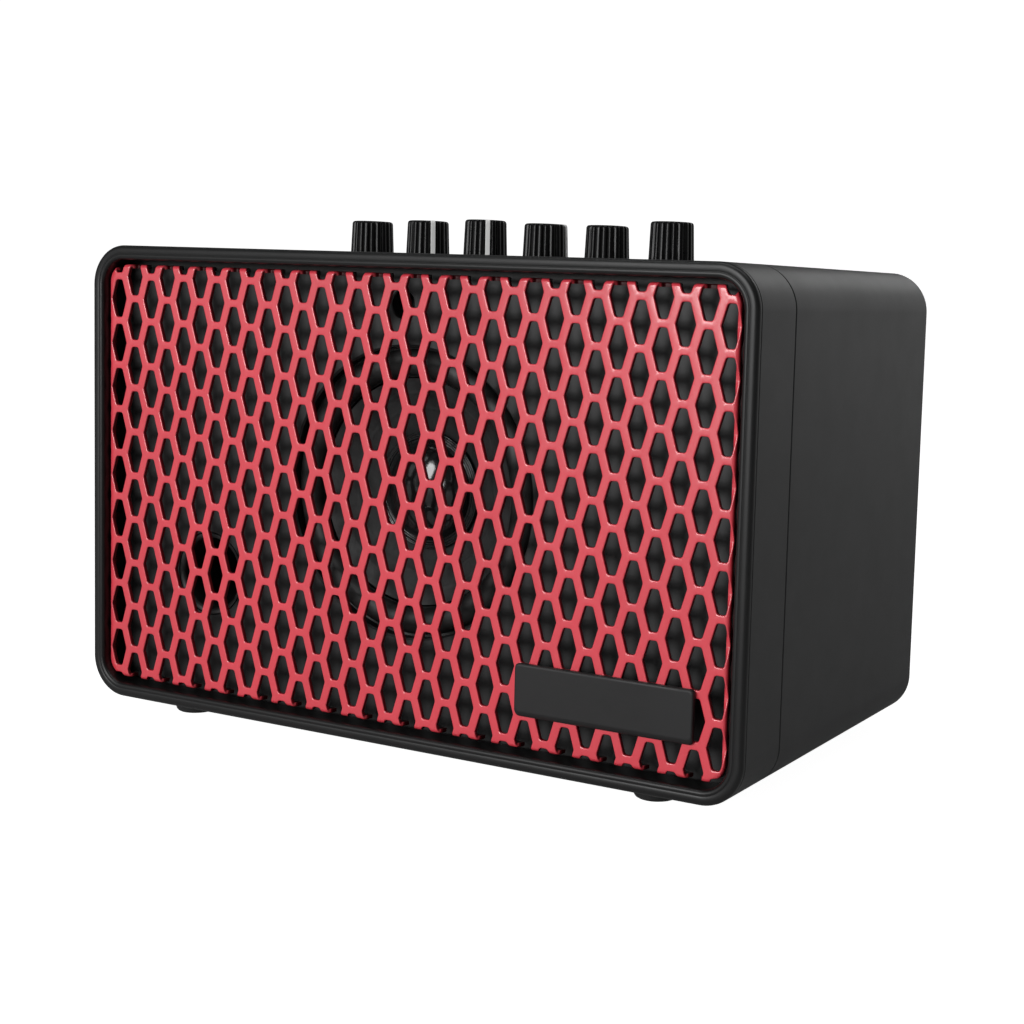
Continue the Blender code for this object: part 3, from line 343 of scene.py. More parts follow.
def finish_material(name, rgb, rough, tone=0.12, patch=45.0, grain=4200.0, grain_depth=0.00002,
                    bump=0.25, metallic=0.0, spec=0.5, coat=0.0, wear=0.0, wear_rgb=None, rough_swing=0.08,
                    stretch=None, second=None, coat_rough=0.1, painted_wall_shade=None, painted_fold_shade=None, painted_inner_shade=None):
    """Colour with a slow mottle, a fine moulded or painted grain, optional edge wear, and optional painted shade on
    walls, folds and inner slopes.
    """
    m, nt, b = base_material(name)
    tc = nt.nodes.new("ShaderNodeTexCoord").outputs["Object"]
    slow = noise(nt, tc, patch, 3.0, 0.55)
    dark = [c * (1 - tone) for c in rgb]
    light = [min(1.0, c * (1 + tone)) for c in rgb]
    colour = mixed(nt, ranged(nt, slow, 0.3, 0.7, 0.0, 1.0), dark, light)
    if second:
        fine = noise(nt, tc, second[0], 2.0, 0.6)
        colour = mixed(nt, ranged(nt, fine, 0.55, 0.75, 0.0, second[2]), colour, second[1])
    if wear > 0:
        geo = nt.nodes.new("ShaderNodeNewGeometry").outputs["Pointiness"]
        edge = ranged(nt, geo, 0.53, 0.62, 0.0, wear)
        colour = mixed(nt, edge, colour, wear_rgb or [min(1.0, c * 2.2 + 0.02) for c in rgb])
    if painted_wall_shade:      # painted shade: the faces that turn away from the front, such as the walls of holes, take a darker colour
        split = nt.nodes.new("ShaderNodeSeparateXYZ")
        link(nt, nt.nodes.new("ShaderNodeNewGeometry").outputs["Normal"], split.inputs[0])
        size = nt.nodes.new("ShaderNodeMath")
        size.operation = "ABSOLUTE"
        link(nt, split.outputs["Y"], size.inputs[0])
        colour = mixed(nt, ranged(nt, size.outputs[0], 0.25, 0.80, 1.0, 0.0), colour, painted_wall_shade)
    if painted_fold_shade:    # painted shade: what lies further back than a given depth, where the sheet folds over, takes a darker colour and loses its coat and most of its specular
        place_at = nt.nodes.new("ShaderNodeSeparateXYZ")
        link(nt, nt.nodes.new("ShaderNodeNewGeometry").outputs["Position"], place_at.inputs[0])
        depth = ranged(nt, place_at.outputs["Y"], (YF + painted_fold_shade[0]) * MM, (YF + painted_fold_shade[0] + 0.6) * MM, 0.0, 1.0)
        colour = mixed(nt, depth, colour, painted_fold_shade[1])
        link(nt, ranged(nt, depth, 0.0, 1.0, coat, 0.0), b.inputs["Coat Weight"])
        link(nt, ranged(nt, depth, 0.0, 1.0, spec, 0.1), b.inputs["Specular IOR Level"])
    if painted_inner_shade:    # painted shade: the faces that look towards the middle of the front take a darker colour
        geo = nt.nodes.new("ShaderNodeNewGeometry")
        away = nt.nodes.new("ShaderNodeVectorMath")
        away.operation = "SUBTRACT"
        away.inputs[1].default_value = (0.0, 0.0, ZC * MM)
        link(nt, geo.outputs["Position"], away.inputs[0])
        facing = nt.nodes.new("ShaderNodeVectorMath")
        facing.operation = "DOT_PRODUCT"
        link(nt, away.outputs["Vector"], facing.inputs[0])
        link(nt, geo.outputs["Normal"], facing.inputs[1])
        colour = mixed(nt, ranged(nt, facing.outputs["Value"], 0.02, -0.03, 0.0, 1.0), colour, painted_inner_shade)
    link(nt, colour, b.inputs["Base Color"])
    link(nt, ranged(nt, noise(nt, tc, patch * 2.3, 3.0, 0.6), 0.3, 0.7, rough - rough_swing, rough + rough_swing),
         b.inputs["Roughness"])
    b.inputs["Metallic"].default_value = metallic
    b.inputs["Specular IOR Level"].default_value = spec
    if coat > 0:
        b.inputs["Coat Weight"].default_value = coat
        b.inputs["Coat Roughness"].default_value = coat_rough
    g = noise(nt, tc, grain, 2.0, 0.6, stretch)
    bp = nt.nodes.new("ShaderNodeBump")
    bp.inputs["Strength"].default_value = bump
    bp.inputs["Distance"].default_value = grain_depth
    link(nt, g, bp.inputs["Height"])
    link(nt, bp.outputs["Normal"], b.inputs["Normal"])
    return m


MAT = {
    "shell": finish_material("amp_shell_plastic", (0.0118, 0.0120, 0.0124), 0.50, tone=0.04, spec=0.4, grain=5200.0, bump=0.5,
                             rough_swing=0.015,
                             wear=0.25, wear_rgb=(0.045, 0.045, 0.047)),
    "bezel": finish_material("amp_bezel_plastic", (0.0058, 0.0060, 0.0062), 0.40, tone=0.05, spec=0.32, grain=3000.0,
                             # painted shade darkens the bezel's faces that look towards the middle of the front
                             bump=0.12, rough_swing=0.03, painted_inner_shade=(0.0012, 0.0012, 0.0013)),
    # painted shade darkens the grille's hole walls
    "grille": finish_material("amp_grille_coating", (0.665, 0.050, 0.072), 0.33, tone=0.04, patch=30.0, grain=900.0, painted_wall_shade=(0.15, 0.005, 0.009),
                              # painted shade darkens the sheet where it folds back
                              painted_fold_shade=(GRILLE_FRONT + 1.15, (0.030, 0.002, 0.003)),
                              grain_depth=0.00005, bump=0.22, spec=0.5, coat=0.6, coat_rough=0.13, rough_swing=0.05),
    "badge": finish_material("amp_badge_plastic", (0.0120, 0.0120, 0.0124), 0.5, spec=0.3, grain=4200.0, bump=0.35),
    "knob": finish_material("amp_knob_plastic", (0.0022, 0.0022, 0.0024), 0.28, spec=0.20, grain=3800.0, bump=0.10,
                            rough_swing=0.04),
    "pointer": finish_material("amp_pointer_paint", (0.74, 0.74, 0.73), 0.5, tone=0.04, grain=5000.0, bump=0.3),
    "shaft": finish_material("amp_shaft_plastic", (0.50, 0.50, 0.49), 0.45, tone=0.06),
    "steel": finish_material("amp_plated_steel", (0.52, 0.52, 0.53), 0.32, tone=0.08, metallic=1.0, grain=2600.0,
                             bump=0.3, wear=0.4, wear_rgb=(0.75, 0.75, 0.76)),
    "dark_steel": finish_material("amp_black_screw", (0.045, 0.045, 0.047), 0.38, metallic=0.85, grain=3000.0,
                                  wear=0.5, wear_rgb=(0.25, 0.25, 0.26)),
    "basket": finish_material("amp_basket_paint", (0.018, 0.018, 0.019), 0.5, metallic=0.2, grain=2200.0, bump=0.5),
    "surround": finish_material("amp_surround_rubber", (0.0065, 0.0065, 0.0065), 0.55, grain=2500.0, bump=0.25),
    "cone": finish_material("amp_cone_paper", (0.018, 0.018, 0.0185), 0.72, tone=0.2, patch=160.0, grain=1500.0,
                            grain_depth=0.00008, bump=0.6, second=(900.0, (0.03, 0.03, 0.031), 0.5)),
    "dust_cap": finish_material("amp_dust_cap_gloss", (0.008, 0.008, 0.0085), 0.17, grain=2200.0, bump=0.05,
                                spec=0.35, coat=0.4, coat_rough=0.09, rough_swing=0.03),
    "spider": finish_material("amp_spider_cloth", (0.42, 0.26, 0.09), 0.85, tone=0.2, patch=200.0, grain=2500.0,
                              grain_depth=0.0001, bump=0.8),
    "coil": finish_material("amp_coil_former", (0.55, 0.26, 0.10), 0.42, metallic=0.5, grain=1.0,
                            stretch=(1.0, 5000.0, 1.0), grain_depth=0.0001, bump=0.6),
    "ferrite": finish_material("amp_ferrite", (0.045, 0.045, 0.050), 0.62, tone=0.2, grain=1800.0, bump=0.6),
    "rubber": finish_material("amp_foot_rubber", (0.011, 0.011, 0.0112), 0.75, grain=3000.0, bump=0.6),
    "plate": finish_material("amp_panel_plate", (0.0125, 0.0125, 0.013), 0.42, grain=4800.0, bump=0.3),
    "print": finish_material("amp_white_print", (0.66, 0.66, 0.65), 0.55, tone=0.06, grain=5200.0, bump=0.3),
    "jack": finish_material("amp_jack_plastic", (0.012, 0.012, 0.012), 0.4, grain=3500.0, bump=0.25),
    "port": finish_material("amp_port_plastic", (0.016, 0.016, 0.0165), 0.5, grain=4200.0, bump=0.4),
    "baffle_dark": finish_material("amp_inner_dark", (0.010, 0.010, 0.010), 0.6, grain=3500.0, bump=0.3),
}


def board_material():
    m, nt, b = base_material("amp_circuit_board")
    tc = nt.nodes.new("ShaderNodeTexCoord").outputs["Object"]
    v = nt.nodes.new("ShaderNodeTexBrick")
    v.inputs["Scale"].default_value = 130.0
    v.inputs["Color1"].default_value = (0.008, 0.085, 0.035, 1)
    v.inputs["Color2"].default_value = (0.010, 0.110, 0.045, 1)
    v.inputs["Mortar"].default_value = (0.020, 0.190, 0.080, 1)
    v.inputs["Mortar Size"].default_value = 0.03
    link(nt, tc, v.inputs["Vector"])
    spots = ranged(nt, noise(nt, tc, 420.0, 1.0), 0.62, 0.66, 0.0, 1.0)
    link(nt, mixed(nt, spots, v.outputs["Color"], (0.45, 0.36, 0.16)), b.inputs["Base Color"])
    link(nt, ranged(nt, spots, 0.0, 1.0, 0.45, 0.3), b.inputs["Roughness"])
    bp = nt.nodes.new("ShaderNodeBump")
    bp.inputs["Strength"].default_value = 0.4
    bp.inputs["Distance"].default_value = 0.0001
    link(nt, v.outputs["Fac"], bp.inputs["Height"])
    link(nt, bp.outputs["Normal"], b.inputs["Normal"])
    return m


MAT["board"] = board_material()
MAT["battery"] = finish_material("amp_battery_wrap", (0.035, 0.10, 0.36), 0.35, tone=0.1, patch=60.0, grain=500.0,
                                 grain_depth=0.0002, bump=0.3)


def led_material():
    m, nt, b = base_material("amp_led_lens")
    tc = nt.nodes.new("ShaderNodeTexCoord").outputs["Object"]
    colour = mixed(nt, ranged(nt, noise(nt, tc, 1200.0, 2.0), 0.3, 0.7, 0.0, 1.0), (0.42, 0.008, 0.010), (0.62, 0.02, 0.02))
    link(nt, colour, b.inputs["Base Color"])
    b.inputs["Roughness"].default_value = 0.18
    b.inputs["Coat Weight"].default_value = 0.6
    link(nt, colour, b.inputs["Emission Color"])
    b.inputs["Emission Strength"].default_value = 0.25
    return m


MAT["led"] = led_material()


# ---------------------------------------------------------------- bezel
def make_bezel():
    profile = [(0.0, BEZEL_LINE - GAP), (0.0, 1.25), (0.05, 0.95), (0.17, 0.66), (0.36, 0.42), (0.62, 0.22),
               (0.95, 0.09), (1.35, 0.03), (1.75, 0.03), (2.05, 0.06), (2.25, 0.11), (2.36, 0.17), (2.44, 0.17),
               (2.54, 0.10), (2.70, 0.04), (2.95, 0.01), (3.15, 0.04), (3.40, 0.13), (3.62, 0.29), (3.80, 0.52),
               (3.91, 0.82), (3.95, 1.2), (3.95, 7.0), (3.2, 7.0), (3.2, BEZEL_LINE - GAP)]
    s = Shape("XZ")
    rings = [s.ring(cabinet_outline(u, 24), YF + y) for u, y in profile]
    for i in range(len(rings)):
        s.wall(rings[i], rings[(i + 1) % len(rings)])
    place(s.finish("bezel_moulding", MAT["bezel"], smooth=50), "cabinet", "bezel", "bezel")


# ---------------------------------------------------------------- grille
PITCH_X, PITCH_Z = 6.0, 12.462
HOLE_TOP, HOLE_HX, HOLE_FLAT, HOLE_HZ = 49.26, 2.70, 1.09, 5.2
BEND_R, SHEET_T, SHEET_REACH = 1.15, 1.1, 3.5
TRAY_SHIFT, TRAY_HX = -0.8, 99.0      # the pressed rim sits a little to one side of the hole pattern


def hexagon(offset, corner_r, steps=4):
    """Rounded elongated hexagon, pushed outward by offset: steps + 1 points at each corner."""
    ln = math.hypot(HOLE_HZ, HOLE_HX - HOLE_FLAT)
    nu, nv = HOLE_HZ / ln, (HOLE_HX - HOLE_FLAT) / ln
    reach = nu * HOLE_HX + offset
    px = reach / nu
    top = HOLE_HZ + offset
    fx = (reach - nv * top) / nu
    corners = [(px, 0.0), (fx, top), (-fx, top), (-px, 0.0), (-fx, -top), (fx, -top)]
    pts = []
    for i in range(6):
        a, v, b = Vector(corners[i - 1]), Vector(corners[i]), Vector(corners[(i + 1) % 6])
        da, db = (a - v).normalized(), (b - v).normalized()
        half = da.angle(db) / 2
        r = corner_r + offset
        reach_t = min(r / math.tan(half), (a - v).length * 0.48, (b - v).length * 0.48)
        r = reach_t * math.tan(half)
        centre = v + (da + db).normalized() * (r / math.sin(half))
        p0, p1 = v + da * reach_t - centre, v + db * reach_t - centre
        turn = p0.angle_signed(p1)
        a0 = math.atan2(p0.y, p0.x)
        for k in range(steps + 1):
            ang = a0 - turn * k / steps
            pts.append((centre.x + r * math.cos(ang), centre.y + r * math.sin(ang)))
    return pts


def cell_outline(steps=4):
    """Outline of the sheet that belongs to one hole; neighbours share its points."""
    h = PITCH_Z / 2
    slope = (HOLE_HX - HOLE_FLAT) / HOLE_HZ
    q = (PITCH_X - slope * h) / 2
    p = PITCH_X - q
    w = [(p, 0.0), (q, h), (-q, h), (-p, 0.0), (-q, -h), (q, -h)]
    n = steps + 1
    pts = []
    for i in range(6):
        a, v, b = w[i - 1], w[i], w[(i + 1) % 6]
        for k in range(-(steps // 2), steps // 2 + 1):
            o = a if k < 0 else b
            t = abs(k) / n
            pts.append((v[0] + (o[0] - v[0]) * t, v[1] + (o[1] - v[1]) * t))
    return pts


def make_grille():
    hx0, hz0 = TRAY_HX - BEND_R, GRILLE_HZ - BEND_R
    rc = 5.0 - BEND_R
    arc = BEND_R * math.pi / 2
    beyond = SHEET_REACH
    ex, ez, er = hx0 + beyond, hz0 + beyond, rc + beyond
    bm = bmesh.new()
    cell = cell_outline()
    rings = [(hexagon(o, 0.7), w) for o, w in
             ((0.38, 0.0), (0.20, 0.035), (0.06, 0.14), (0.0, 0.36), (0.0, SHEET_T))]
    n = len(cell)
    for c in range(-2, 35):
        x = (c - 16) * PITCH_X - TRAY_SHIFT
        odd = c % 2
        for k in range(-3, 12):
            z = HOLE_TOP - (k + 0.5 * odd) * PITCH_Z
            if abs(x) > ex + 4.5 or abs(z) > ez + 7.0:
                continue
            layers = [[bm.verts.new((x + u, w, z + v)) for u, v in loop]
                      for loop, w in [(cell, 0.0)] + rings + [(cell, SHEET_T)]]
            for a, b in zip(layers, layers[1:]):
                for i in range(n):
                    j = (i + 1) % n
                    bm.faces.new((a[i], a[j], b[j], b[i]))
    bmesh.ops.remove_doubles(bm, verts=bm.verts[:], dist=0.002)

    def trim(co, no):
        geom = bm.verts[:] + bm.edges[:] + bm.faces[:]
        res = bmesh.ops.bisect_plane(bm, geom=geom, dist=1e-5, plane_co=co, plane_no=no, clear_outer=True)
        open_edges = [e for e in res["geom_cut"] if isinstance(e, bmesh.types.BMEdge) and e.is_boundary]
        bmesh.ops.holes_fill(bm, edges=open_edges, sides=0)

    for sx, sz in ((1, 0), (-1, 0), (0, 1), (0, -1)):
        trim((sx * ex, 0, sz * ez), (sx, 0, sz))
    for sx in (1, -1):
        for sz in (1, -1):
            for i in range(1, 6):
                a = math.pi / 2 * i / 6
                co = (sx * (ex - er + er * math.cos(a)), 0, sz * (ez - er + er * math.sin(a)))
                trim(co, (sx * math.cos(a), 0, sz * math.sin(a)))

    def divide(co, no, test):
        faces = [f for f in bm.faces if test(f.calc_center_median())]
        geom = set(faces)
        for f in faces:
            geom.update(f.edges)
            geom.update(f.verts)
        bmesh.ops.bisect_plane(bm, geom=list(geom), dist=1e-5, plane_co=co, plane_no=no)

    steps = [arc * i / 6 for i in range(7)]
    for d in steps:
        for s in (1, -1):
            divide((s * (hx0 + d), 0, 0), (1, 0, 0), lambda p, s=s: p.x * s > hx0 - 5)
            divide((0, 0, s * (hz0 + d)), (0, 0, 1), lambda p, s=s: p.z * s > hz0 - 7)
    grid = [i * 0.8 for i in range(int((beyond + rc) / 0.8) + 1)]
    for sx in (1, -1):
        for sz in (1, -1):
            def corner(p, sx=sx, sz=sz):
                return p.x * sx > hx0 - rc - 1.5 and p.z * sz > hz0 - rc - 1.5
            for g in grid:
                divide((sx * (hx0 - rc + g), 0, 0), (1, 0, 0), corner)
                divide((0, 0, sz * (hz0 - rc + g)), (0, 0, 1), corner)
    big = [f for f in bm.faces if len(f.verts) > 4 and
           (abs(f.calc_center_median().x) > hx0 - 0.1 or abs(f.calc_center_median().z) > hz0 - 0.1)]
    bmesh.ops.triangulate(bm, faces=big)
    y0 = YF + GRILLE_FRONT
    for v in bm.verts:
        s, w, t = v.co
        cx = max(-(hx0 - rc), min(hx0 - rc, s))
        cz = max(-(hz0 - rc), min(hz0 - rc, t))
        dx, dz = s - cx, t - cz
        dist = math.hypot(dx, dz)
        d = dist - rc
        if dist < 1e-9 or d <= 0:
            v.co = (s + TRAY_SHIFT, y0 + w, ZC + t)
            continue
        nx, nz = dx / dist, dz / dist
        phi = min(d / BEND_R, math.pi / 2)
        rest = max(0.0, d - arc)
        out = rc + (BEND_R - w) * math.sin(phi)
        v.co = (cx + nx * out + TRAY_SHIFT, y0 + BEND_R - (BEND_R - w) * math.cos(phi) + rest, ZC + cz + nz * out)
    s = Shape("XZ")
    s.bm.free()
    s.bm = bm
    ob = s.finish("grille_pressing", MAT["grille"], smooth=75)
    place(ob, "cabinet", "grille", "grille")


def make_badge():
    lo, hi = box_mm("badge_plate")
    cx, cz = (lo[0] + hi[0]) / 2, (lo[2] + hi[2]) / 2
    hx, hz = (hi[0] - lo[0]) / 2, (hi[2] - lo[2]) / 2
    rings = []
    # the face ends below in a bevel that runs down to the sheet
    for inset, drop, y in ((0.75, 0.0, 0.0), (0.42, 0.0, 0.03), (0.2, 0.06, 0.12), (0.06, 0.28, 0.28), (0.0, 0.62, 0.55),
                           (0.0, 0.85, 0.8), (0.0, 0.9, 0.95), (0.0, 0.9, 1.3)):
        rings.append((lo[1] + y, rounded_rect(hx - inset, hz - inset + drop / 2, 1.2 - inset * 0.6, 8, cx, cz - drop / 2)))
    place(lofted("badge_face", MAT["badge"], "XZ", rings, smooth=50), "cabinet", "badge", "badge_plate")


# ---------------------------------------------------------------- cabinet
CASE_SCREWS = [node_xz("case_screw_" + t) for t in ("upper_left", "upper_right", "lower_left", "lower_right")]
FRONT_SCREW = node_xz("front_screw")
SPK_SCREWS = [node_xz("speaker_screw_" + t) for t in ("upper_right", "upper_left", "lower_left", "lower_right")]
WELL_FLOOR = YF + 19.0
PILLAR_FLOOR = YF + SEAM + 6.0


def make_front_case():
    y = YF + BEZEL_LINE
    end = YF + SEAM - GAP / 2
    chain = [(2.9, YF + BAFFLE_FRONT), (2.9, y)]
    chain += rounding(0.0, y, 0.3, "front_out")
    chain += rounding(0.0, end, 0.3, "out_back")
    chain += [(1.4, end), (1.4, YF + 17.0), (3.0, YF + 17.0), (3.0, YF + BAFFLE_FRONT + BAFFLE_T)]
    s = Shape("XZ")
    rings = [s.ring(cabinet_outline(u), w) for u, w in chain]
    for a, b in zip(rings, rings[1:]):
        s.wall(a, b)
    s.cap(rings[0])
    s.cap(rings[-1])
    ob = s.finish("front_case", MAT["shell"], weighted=False)
    y_front, y_back = YF + BAFFLE_FRONT, YF + BAFFLE_FRONT + BAFFLE_T
    for i, (u, v) in enumerate(CASE_SCREWS):
        cut(ob, tool_cylinder(f"t_boss_{i}", "XZ", u, v, 4.5, y_back - 1.0, YF + SEAM + 2.7), "UNION")
    cut(ob, tool_cylinder("t_well_boss", "XZ", *FRONT_SCREW, 5.2, y_back - 1.0, WELL_FLOOR + 2.5), "UNION")
    cut(ob, tool_cylinder("t_speaker_opening", "XZ", *SPK, 38.5, y_front, y_back + 1.0, 128, (y_front, 0.5)))
    cut(ob, tool_cylinder("t_port_opening", "XZ", *PORT, 11.8, y_front - 1, y_back + 1.0, 64))
    cut(ob, tool_cylinder("t_well", "XZ", *FRONT_SCREW, 3.6, y_front, WELL_FLOOR, 48, (y_front, 0.3)))
    cut(ob, tool_cylinder("t_well_hole", "XZ", *FRONT_SCREW, 1.9, WELL_FLOOR - 1.0, WELL_FLOOR + 4.0, 24))
    for i, (u, v) in enumerate(SPK_SCREWS):
        cut(ob, tool_cylinder(f"t_spk_screw_{i}", "XZ", u, v, 2.0, y_back - 2.0, y_back + 1.0, 20))
    for i, (u, v) in enumerate(CASE_SCREWS):
        cut(ob, tool_cylinder(f"t_case_screw_{i}", "XZ", u, v, 1.9, YF + 13.5, YF + SEAM + 4.0, 20))
    place(settle(ob), "cabinet", "shell", "front_shell")


def make_rear_case():
    start = YF + SEAM + GAP / 2
    s = Shape("XZ")
    chain = [(WALL, YB - WALL), (WALL, YF + 17.3), (1.7, YF + 17.3), (1.7, start)]
    chain += rounding(0.0, start, 0.3, "front_out")
    chain += rounding(0.0, YB, 0.8, "out_back", 6)
    rings = [s.ring(cabinet_outline(u), w) for u, w in chain]
    for a, b in zip(rings, rings[1:]):
        s.wall(a, b)
    s.cap(rings[0])
    s.cap(rings[-1])
    ob = s.finish("rear_case", MAT["shell"], weighted=False)
    for i, (u, v) in enumerate(CASE_SCREWS):
        cut(ob, tool_cylinder(f"t_pillar_{i}", "XZ", u, v, 5.6, PILLAR_FLOOR - 3.0, YB - WALL + 1.0), "UNION")
    u, v = FRONT_SCREW
    lug = [(u - 5, WELL_FLOOR + 2.8), (u + 5, WELL_FLOOR + 2.8), (u + 5, WELL_FLOOR + 14), (u - 5, WELL_FLOOR + 14)]
    cut(ob, lofted("t_lug", MAT["shell"], "XY", [(v - 5, lug), (Z_TOP - WALL + 1.0, lug)], weighted=False), "UNION")
    lo, hi = box_mm("io_plate")
    io_x, io_z = (lo[0] + hi[0]) / 2, (lo[2] + hi[2]) / 2
    io_hx, io_hz = (hi[0] - lo[0]) / 2, (hi[2] - lo[2]) / 2
    bay = hi[1] + 0.3
    slab = rounded_rect(io_hx + 3.0, io_hz + 3.0, 3.0, 4, io_x, io_z)
    cut(ob, lofted("t_io_slab", MAT["shell"], "XZ", [(bay - 4.0, slab), (YB - 1.0, slab)], weighted=False), "UNION")
    for i, (u, v) in enumerate(CASE_SCREWS):
        cut(ob, tool_cylinder(f"t_bore_{i}", "XZ", u, v, 3.9, PILLAR_FLOOR, YB, 48, (YB, 0.4)))
        cut(ob, tool_cylinder(f"t_hole_{i}", "XZ", u, v, 1.9, PILLAR_FLOOR - 4.0, PILLAR_FLOOR + 1.0, 20))
    cut(ob, tool_cylinder("t_lug_hole", "XZ", *FRONT_SCREW, 1.9, WELL_FLOOR + 2.0, WELL_FLOOR + 12.0, 20))
    lo, hi = box_mm("control_plate")
    hx, hy = (hi[0] - lo[0]) / 2, (hi[1] - lo[1]) / 2
    rings = [(Z_TOP - 1.8, rounded_rect(hx + GAP, hy + GAP, 3.3, 8)), (Z_TOP - 0.35, rounded_rect(hx + GAP, hy + GAP, 3.3, 8)),
             (Z_TOP + 0.35, rounded_rect(hx + GAP + 0.7, hy + GAP + 0.7, 4.0, 8))]
    cut(ob, lofted("t_panel_recess", MAT["shell"], "XY", rings, weighted=False))
    for i, name in enumerate(KNOBS):
        x = JOINT[name + "_turn"]["pos_m"][0] / MM
        cut(ob, tool_cylinder(f"t_shaft_{i}", "XY", x, 0.0, 4.2, Z_TOP - 5.0, Z_TOP + 1.0, 32))
    rings = [(bay - 1.6, rounded_rect(io_hx + GAP, io_hz + GAP, 2.3, 8, io_x, io_z)),
             (YB - 0.45, rounded_rect(io_hx + GAP, io_hz + GAP, 2.3, 8, io_x, io_z)),
             (YB + 0.45, rounded_rect(io_hx + GAP + 0.9, io_hz + GAP + 0.9, 3.2, 8, io_x, io_z))]
    cut(ob, lofted("t_io_recess", MAT["shell"], "XZ", rings, weighted=False))
    window = rounded_rect(io_hx - 4.0, io_hz - 3.0, 1.0, 4, io_x, io_z)
    cut(ob, lofted("t_io_window", MAT["shell"], "XZ", [(bay - 6.0, window), (bay - 1.0, window)], weighted=False))
    place(settle(ob), "cabinet", "shell", "rear_shell")


def make_feet():
    for name in ("foot_front_left", "foot_front_right", "foot_rear_left", "foot_rear_right"):
        lo, hi = box_mm(name)
        x, y, r, top = (lo[0] + hi[0]) / 2, (lo[1] + hi[1]) / 2, (hi[0] - lo[0]) / 2, hi[2]
        profile = [(0.0, top), (r - 0.3, top), (r, top - 0.4), (r, top - 0.8), (r - 0.08, 1.5), (r - 0.3, 0.75),
                   (r - 0.62, 0.33), (r - 1.0, 0.1), (r - 1.5, 0.0), (3.4, 0.0), (3.2, 0.15), (3.0, 0.5), (0.0, 0.5)]
        place(turned(name.replace("foot", "pad"), MAT["rubber"], profile, "Z", (x, y, 0.0), 72, smooth=45),
              "cabinet", "rubber", name)


# ---------------------------------------------------------------- screws
def make_screw(node, piece, sides, direction):
    """Pan head with a socket; the CAD node gives its place and length."""
    lo, hi = box_mm(node)
    u, v = (lo[0] + hi[0]) / 2, (lo[2] + hi[2]) / 2
    head_r = (hi[0] - lo[0]) / 2
    w = hi[1] if direction < 0 else lo[1]
    length = hi[1] - lo[1]
    d = direction
    n = 36
    head = [(0.0, head_r * 0.62), (0.12, head_r * 0.78), (0.4, head_r * 0.92), (0.85, head_r), (2.05, head_r),
            (2.2, head_r - 0.15), (2.2, 1.5)]
    rings = [(w + d * t, circle(u, v, r, n)) for t, r in head]
    t = 2.5
    while t < length - 1.6:
        for dt, r in ((0.0, 1.25), (0.25, 1.5), (0.5, 1.25)):
            rings.append((w + d * (t + dt), circle(u, v, r, n)))
        t += 0.7
    rings.append((w + d * length, circle(u, v, 0.3, n)))
    sock = circle(u, v, head_r * 0.42, sides)
    hole = [(w, sock), (w + d * 1.2, sock)]
    place(lofted(piece, MAT["dark_steel"], "XZ", rings, [hole], smooth=40), "cabinet", "dark_steel", node)


# ---------------------------------------------------------------- loudspeaker
def spk_turned(name, mat, profile, segments=144, **kw):
    return turned(name, mat, profile, "Y", (SPK[0], SPK[1], YF), segments, **kw)


def make_speaker():
    roll_r, roll_h, t, mid = 3.6, 3.0, 0.7, 34.2
    upper, lower = [], []
    for i in range(21):
        a = math.pi * i / 20
        upper.append((mid + roll_r * math.cos(a), 12.5 - roll_h * math.sin(a)))
        lower.append((mid + (roll_r - t) * math.cos(a), 13.2 - roll_h * math.sin(a)))
    profile = ([(43.0, 12.55), (42.9, 12.5), (39.2, 12.5), (38.9, 12.3), (38.4, 12.3), (38.1, 12.5)] + upper
               + [(30.5, 12.5), (30.5, 13.2)] + lower[::-1] + [(43.0, 13.2)])
    place(spk_turned("surround_roll", MAT["surround"], profile, smooth=60), "cabinet", "surround", "speaker_surround")

    def cone_y(r):
        return 13.2 + (30.1 - r) * 0.425
    front, back = [], []
    r = 30.1
    while r > 13.0:
        ridge = 0.12 * math.exp(-(((r - 26.0) / 0.35) ** 2)) + 0.12 * math.exp(-(((r - 22.0) / 0.35) ** 2))
        front.append((r, cone_y(r) - ridge))
        back.append((r, cone_y(r) + 0.8))
        r -= 0.3
    front.append((13.0, cone_y(13.0)))
    back.append((13.0, cone_y(13.0) + 0.8))
    place(spk_turned("cone_paper", MAT["cone"], front + back[::-1], smooth=60), "cone_assembly", "cone", "speaker_cone")

    base = cone_y(15.8) - 0.35
    dome = []
    for i in range(25):
        a = math.radians(90 * i / 24)
        dome.append((13.3 * math.sin(a), base - 0.95 - 5.55 * math.cos(a)))
    rim = [(13.55, base - 0.75), (13.75, base - 0.7), (13.95, base - 0.78), (14.1, base - 1.02), (14.35, base - 1.1),
           (14.6, base - 1.02), (14.75, base - 0.8), (14.95, base - 0.72), (15.2, base - 0.78), (15.4, base - 0.98),
           (15.62, base - 1.0), (15.78, base - 0.85), (15.8, base - 0.3)]
    inner = [(12.7 * math.sin(math.radians(90 * i / 24)), base - 0.35 - 5.45 * math.cos(math.radians(90 * i / 24)))
             for i in range(25)]
    place(spk_turned("dust_cap_dome", MAT["dust_cap"], dome + rim + inner[::-1], smooth=60), "cone_assembly",
          "dust_cap", "speaker_dust_cap")
    r0, r1 = 10.0, 11.5
    lead = []
    for i in range(7):
        a = math.pi / 2 * i / 6
        lead.append((r0 + 1.2 * (1 - math.sin(a)), 1.2 * (1 - math.cos(a))))
    profile = [(r1, 0.3), (r1, PORT_LEN), (r0, PORT_LEN)] + lead[::-1] + [(r1 - 0.1, 0.0)]
    place(turned("port_sleeve", MAT["port"], profile, "Y", (PORT[0], PORT[1], YF + BAFFLE_FRONT), 96, smooth=40),
          "cabinet", "shell", "port_tube")


# ---------------------------------------------------------------- controls
def pointer_angle(name):
    """Direction of the pointer at rest, as an angle from +X: the middle of the joint's range points to the back."""
    lo, hi = JOINT[name + "_turn"]["range_deg"]
    return math.radians(90.0 - (lo + hi) / 2)


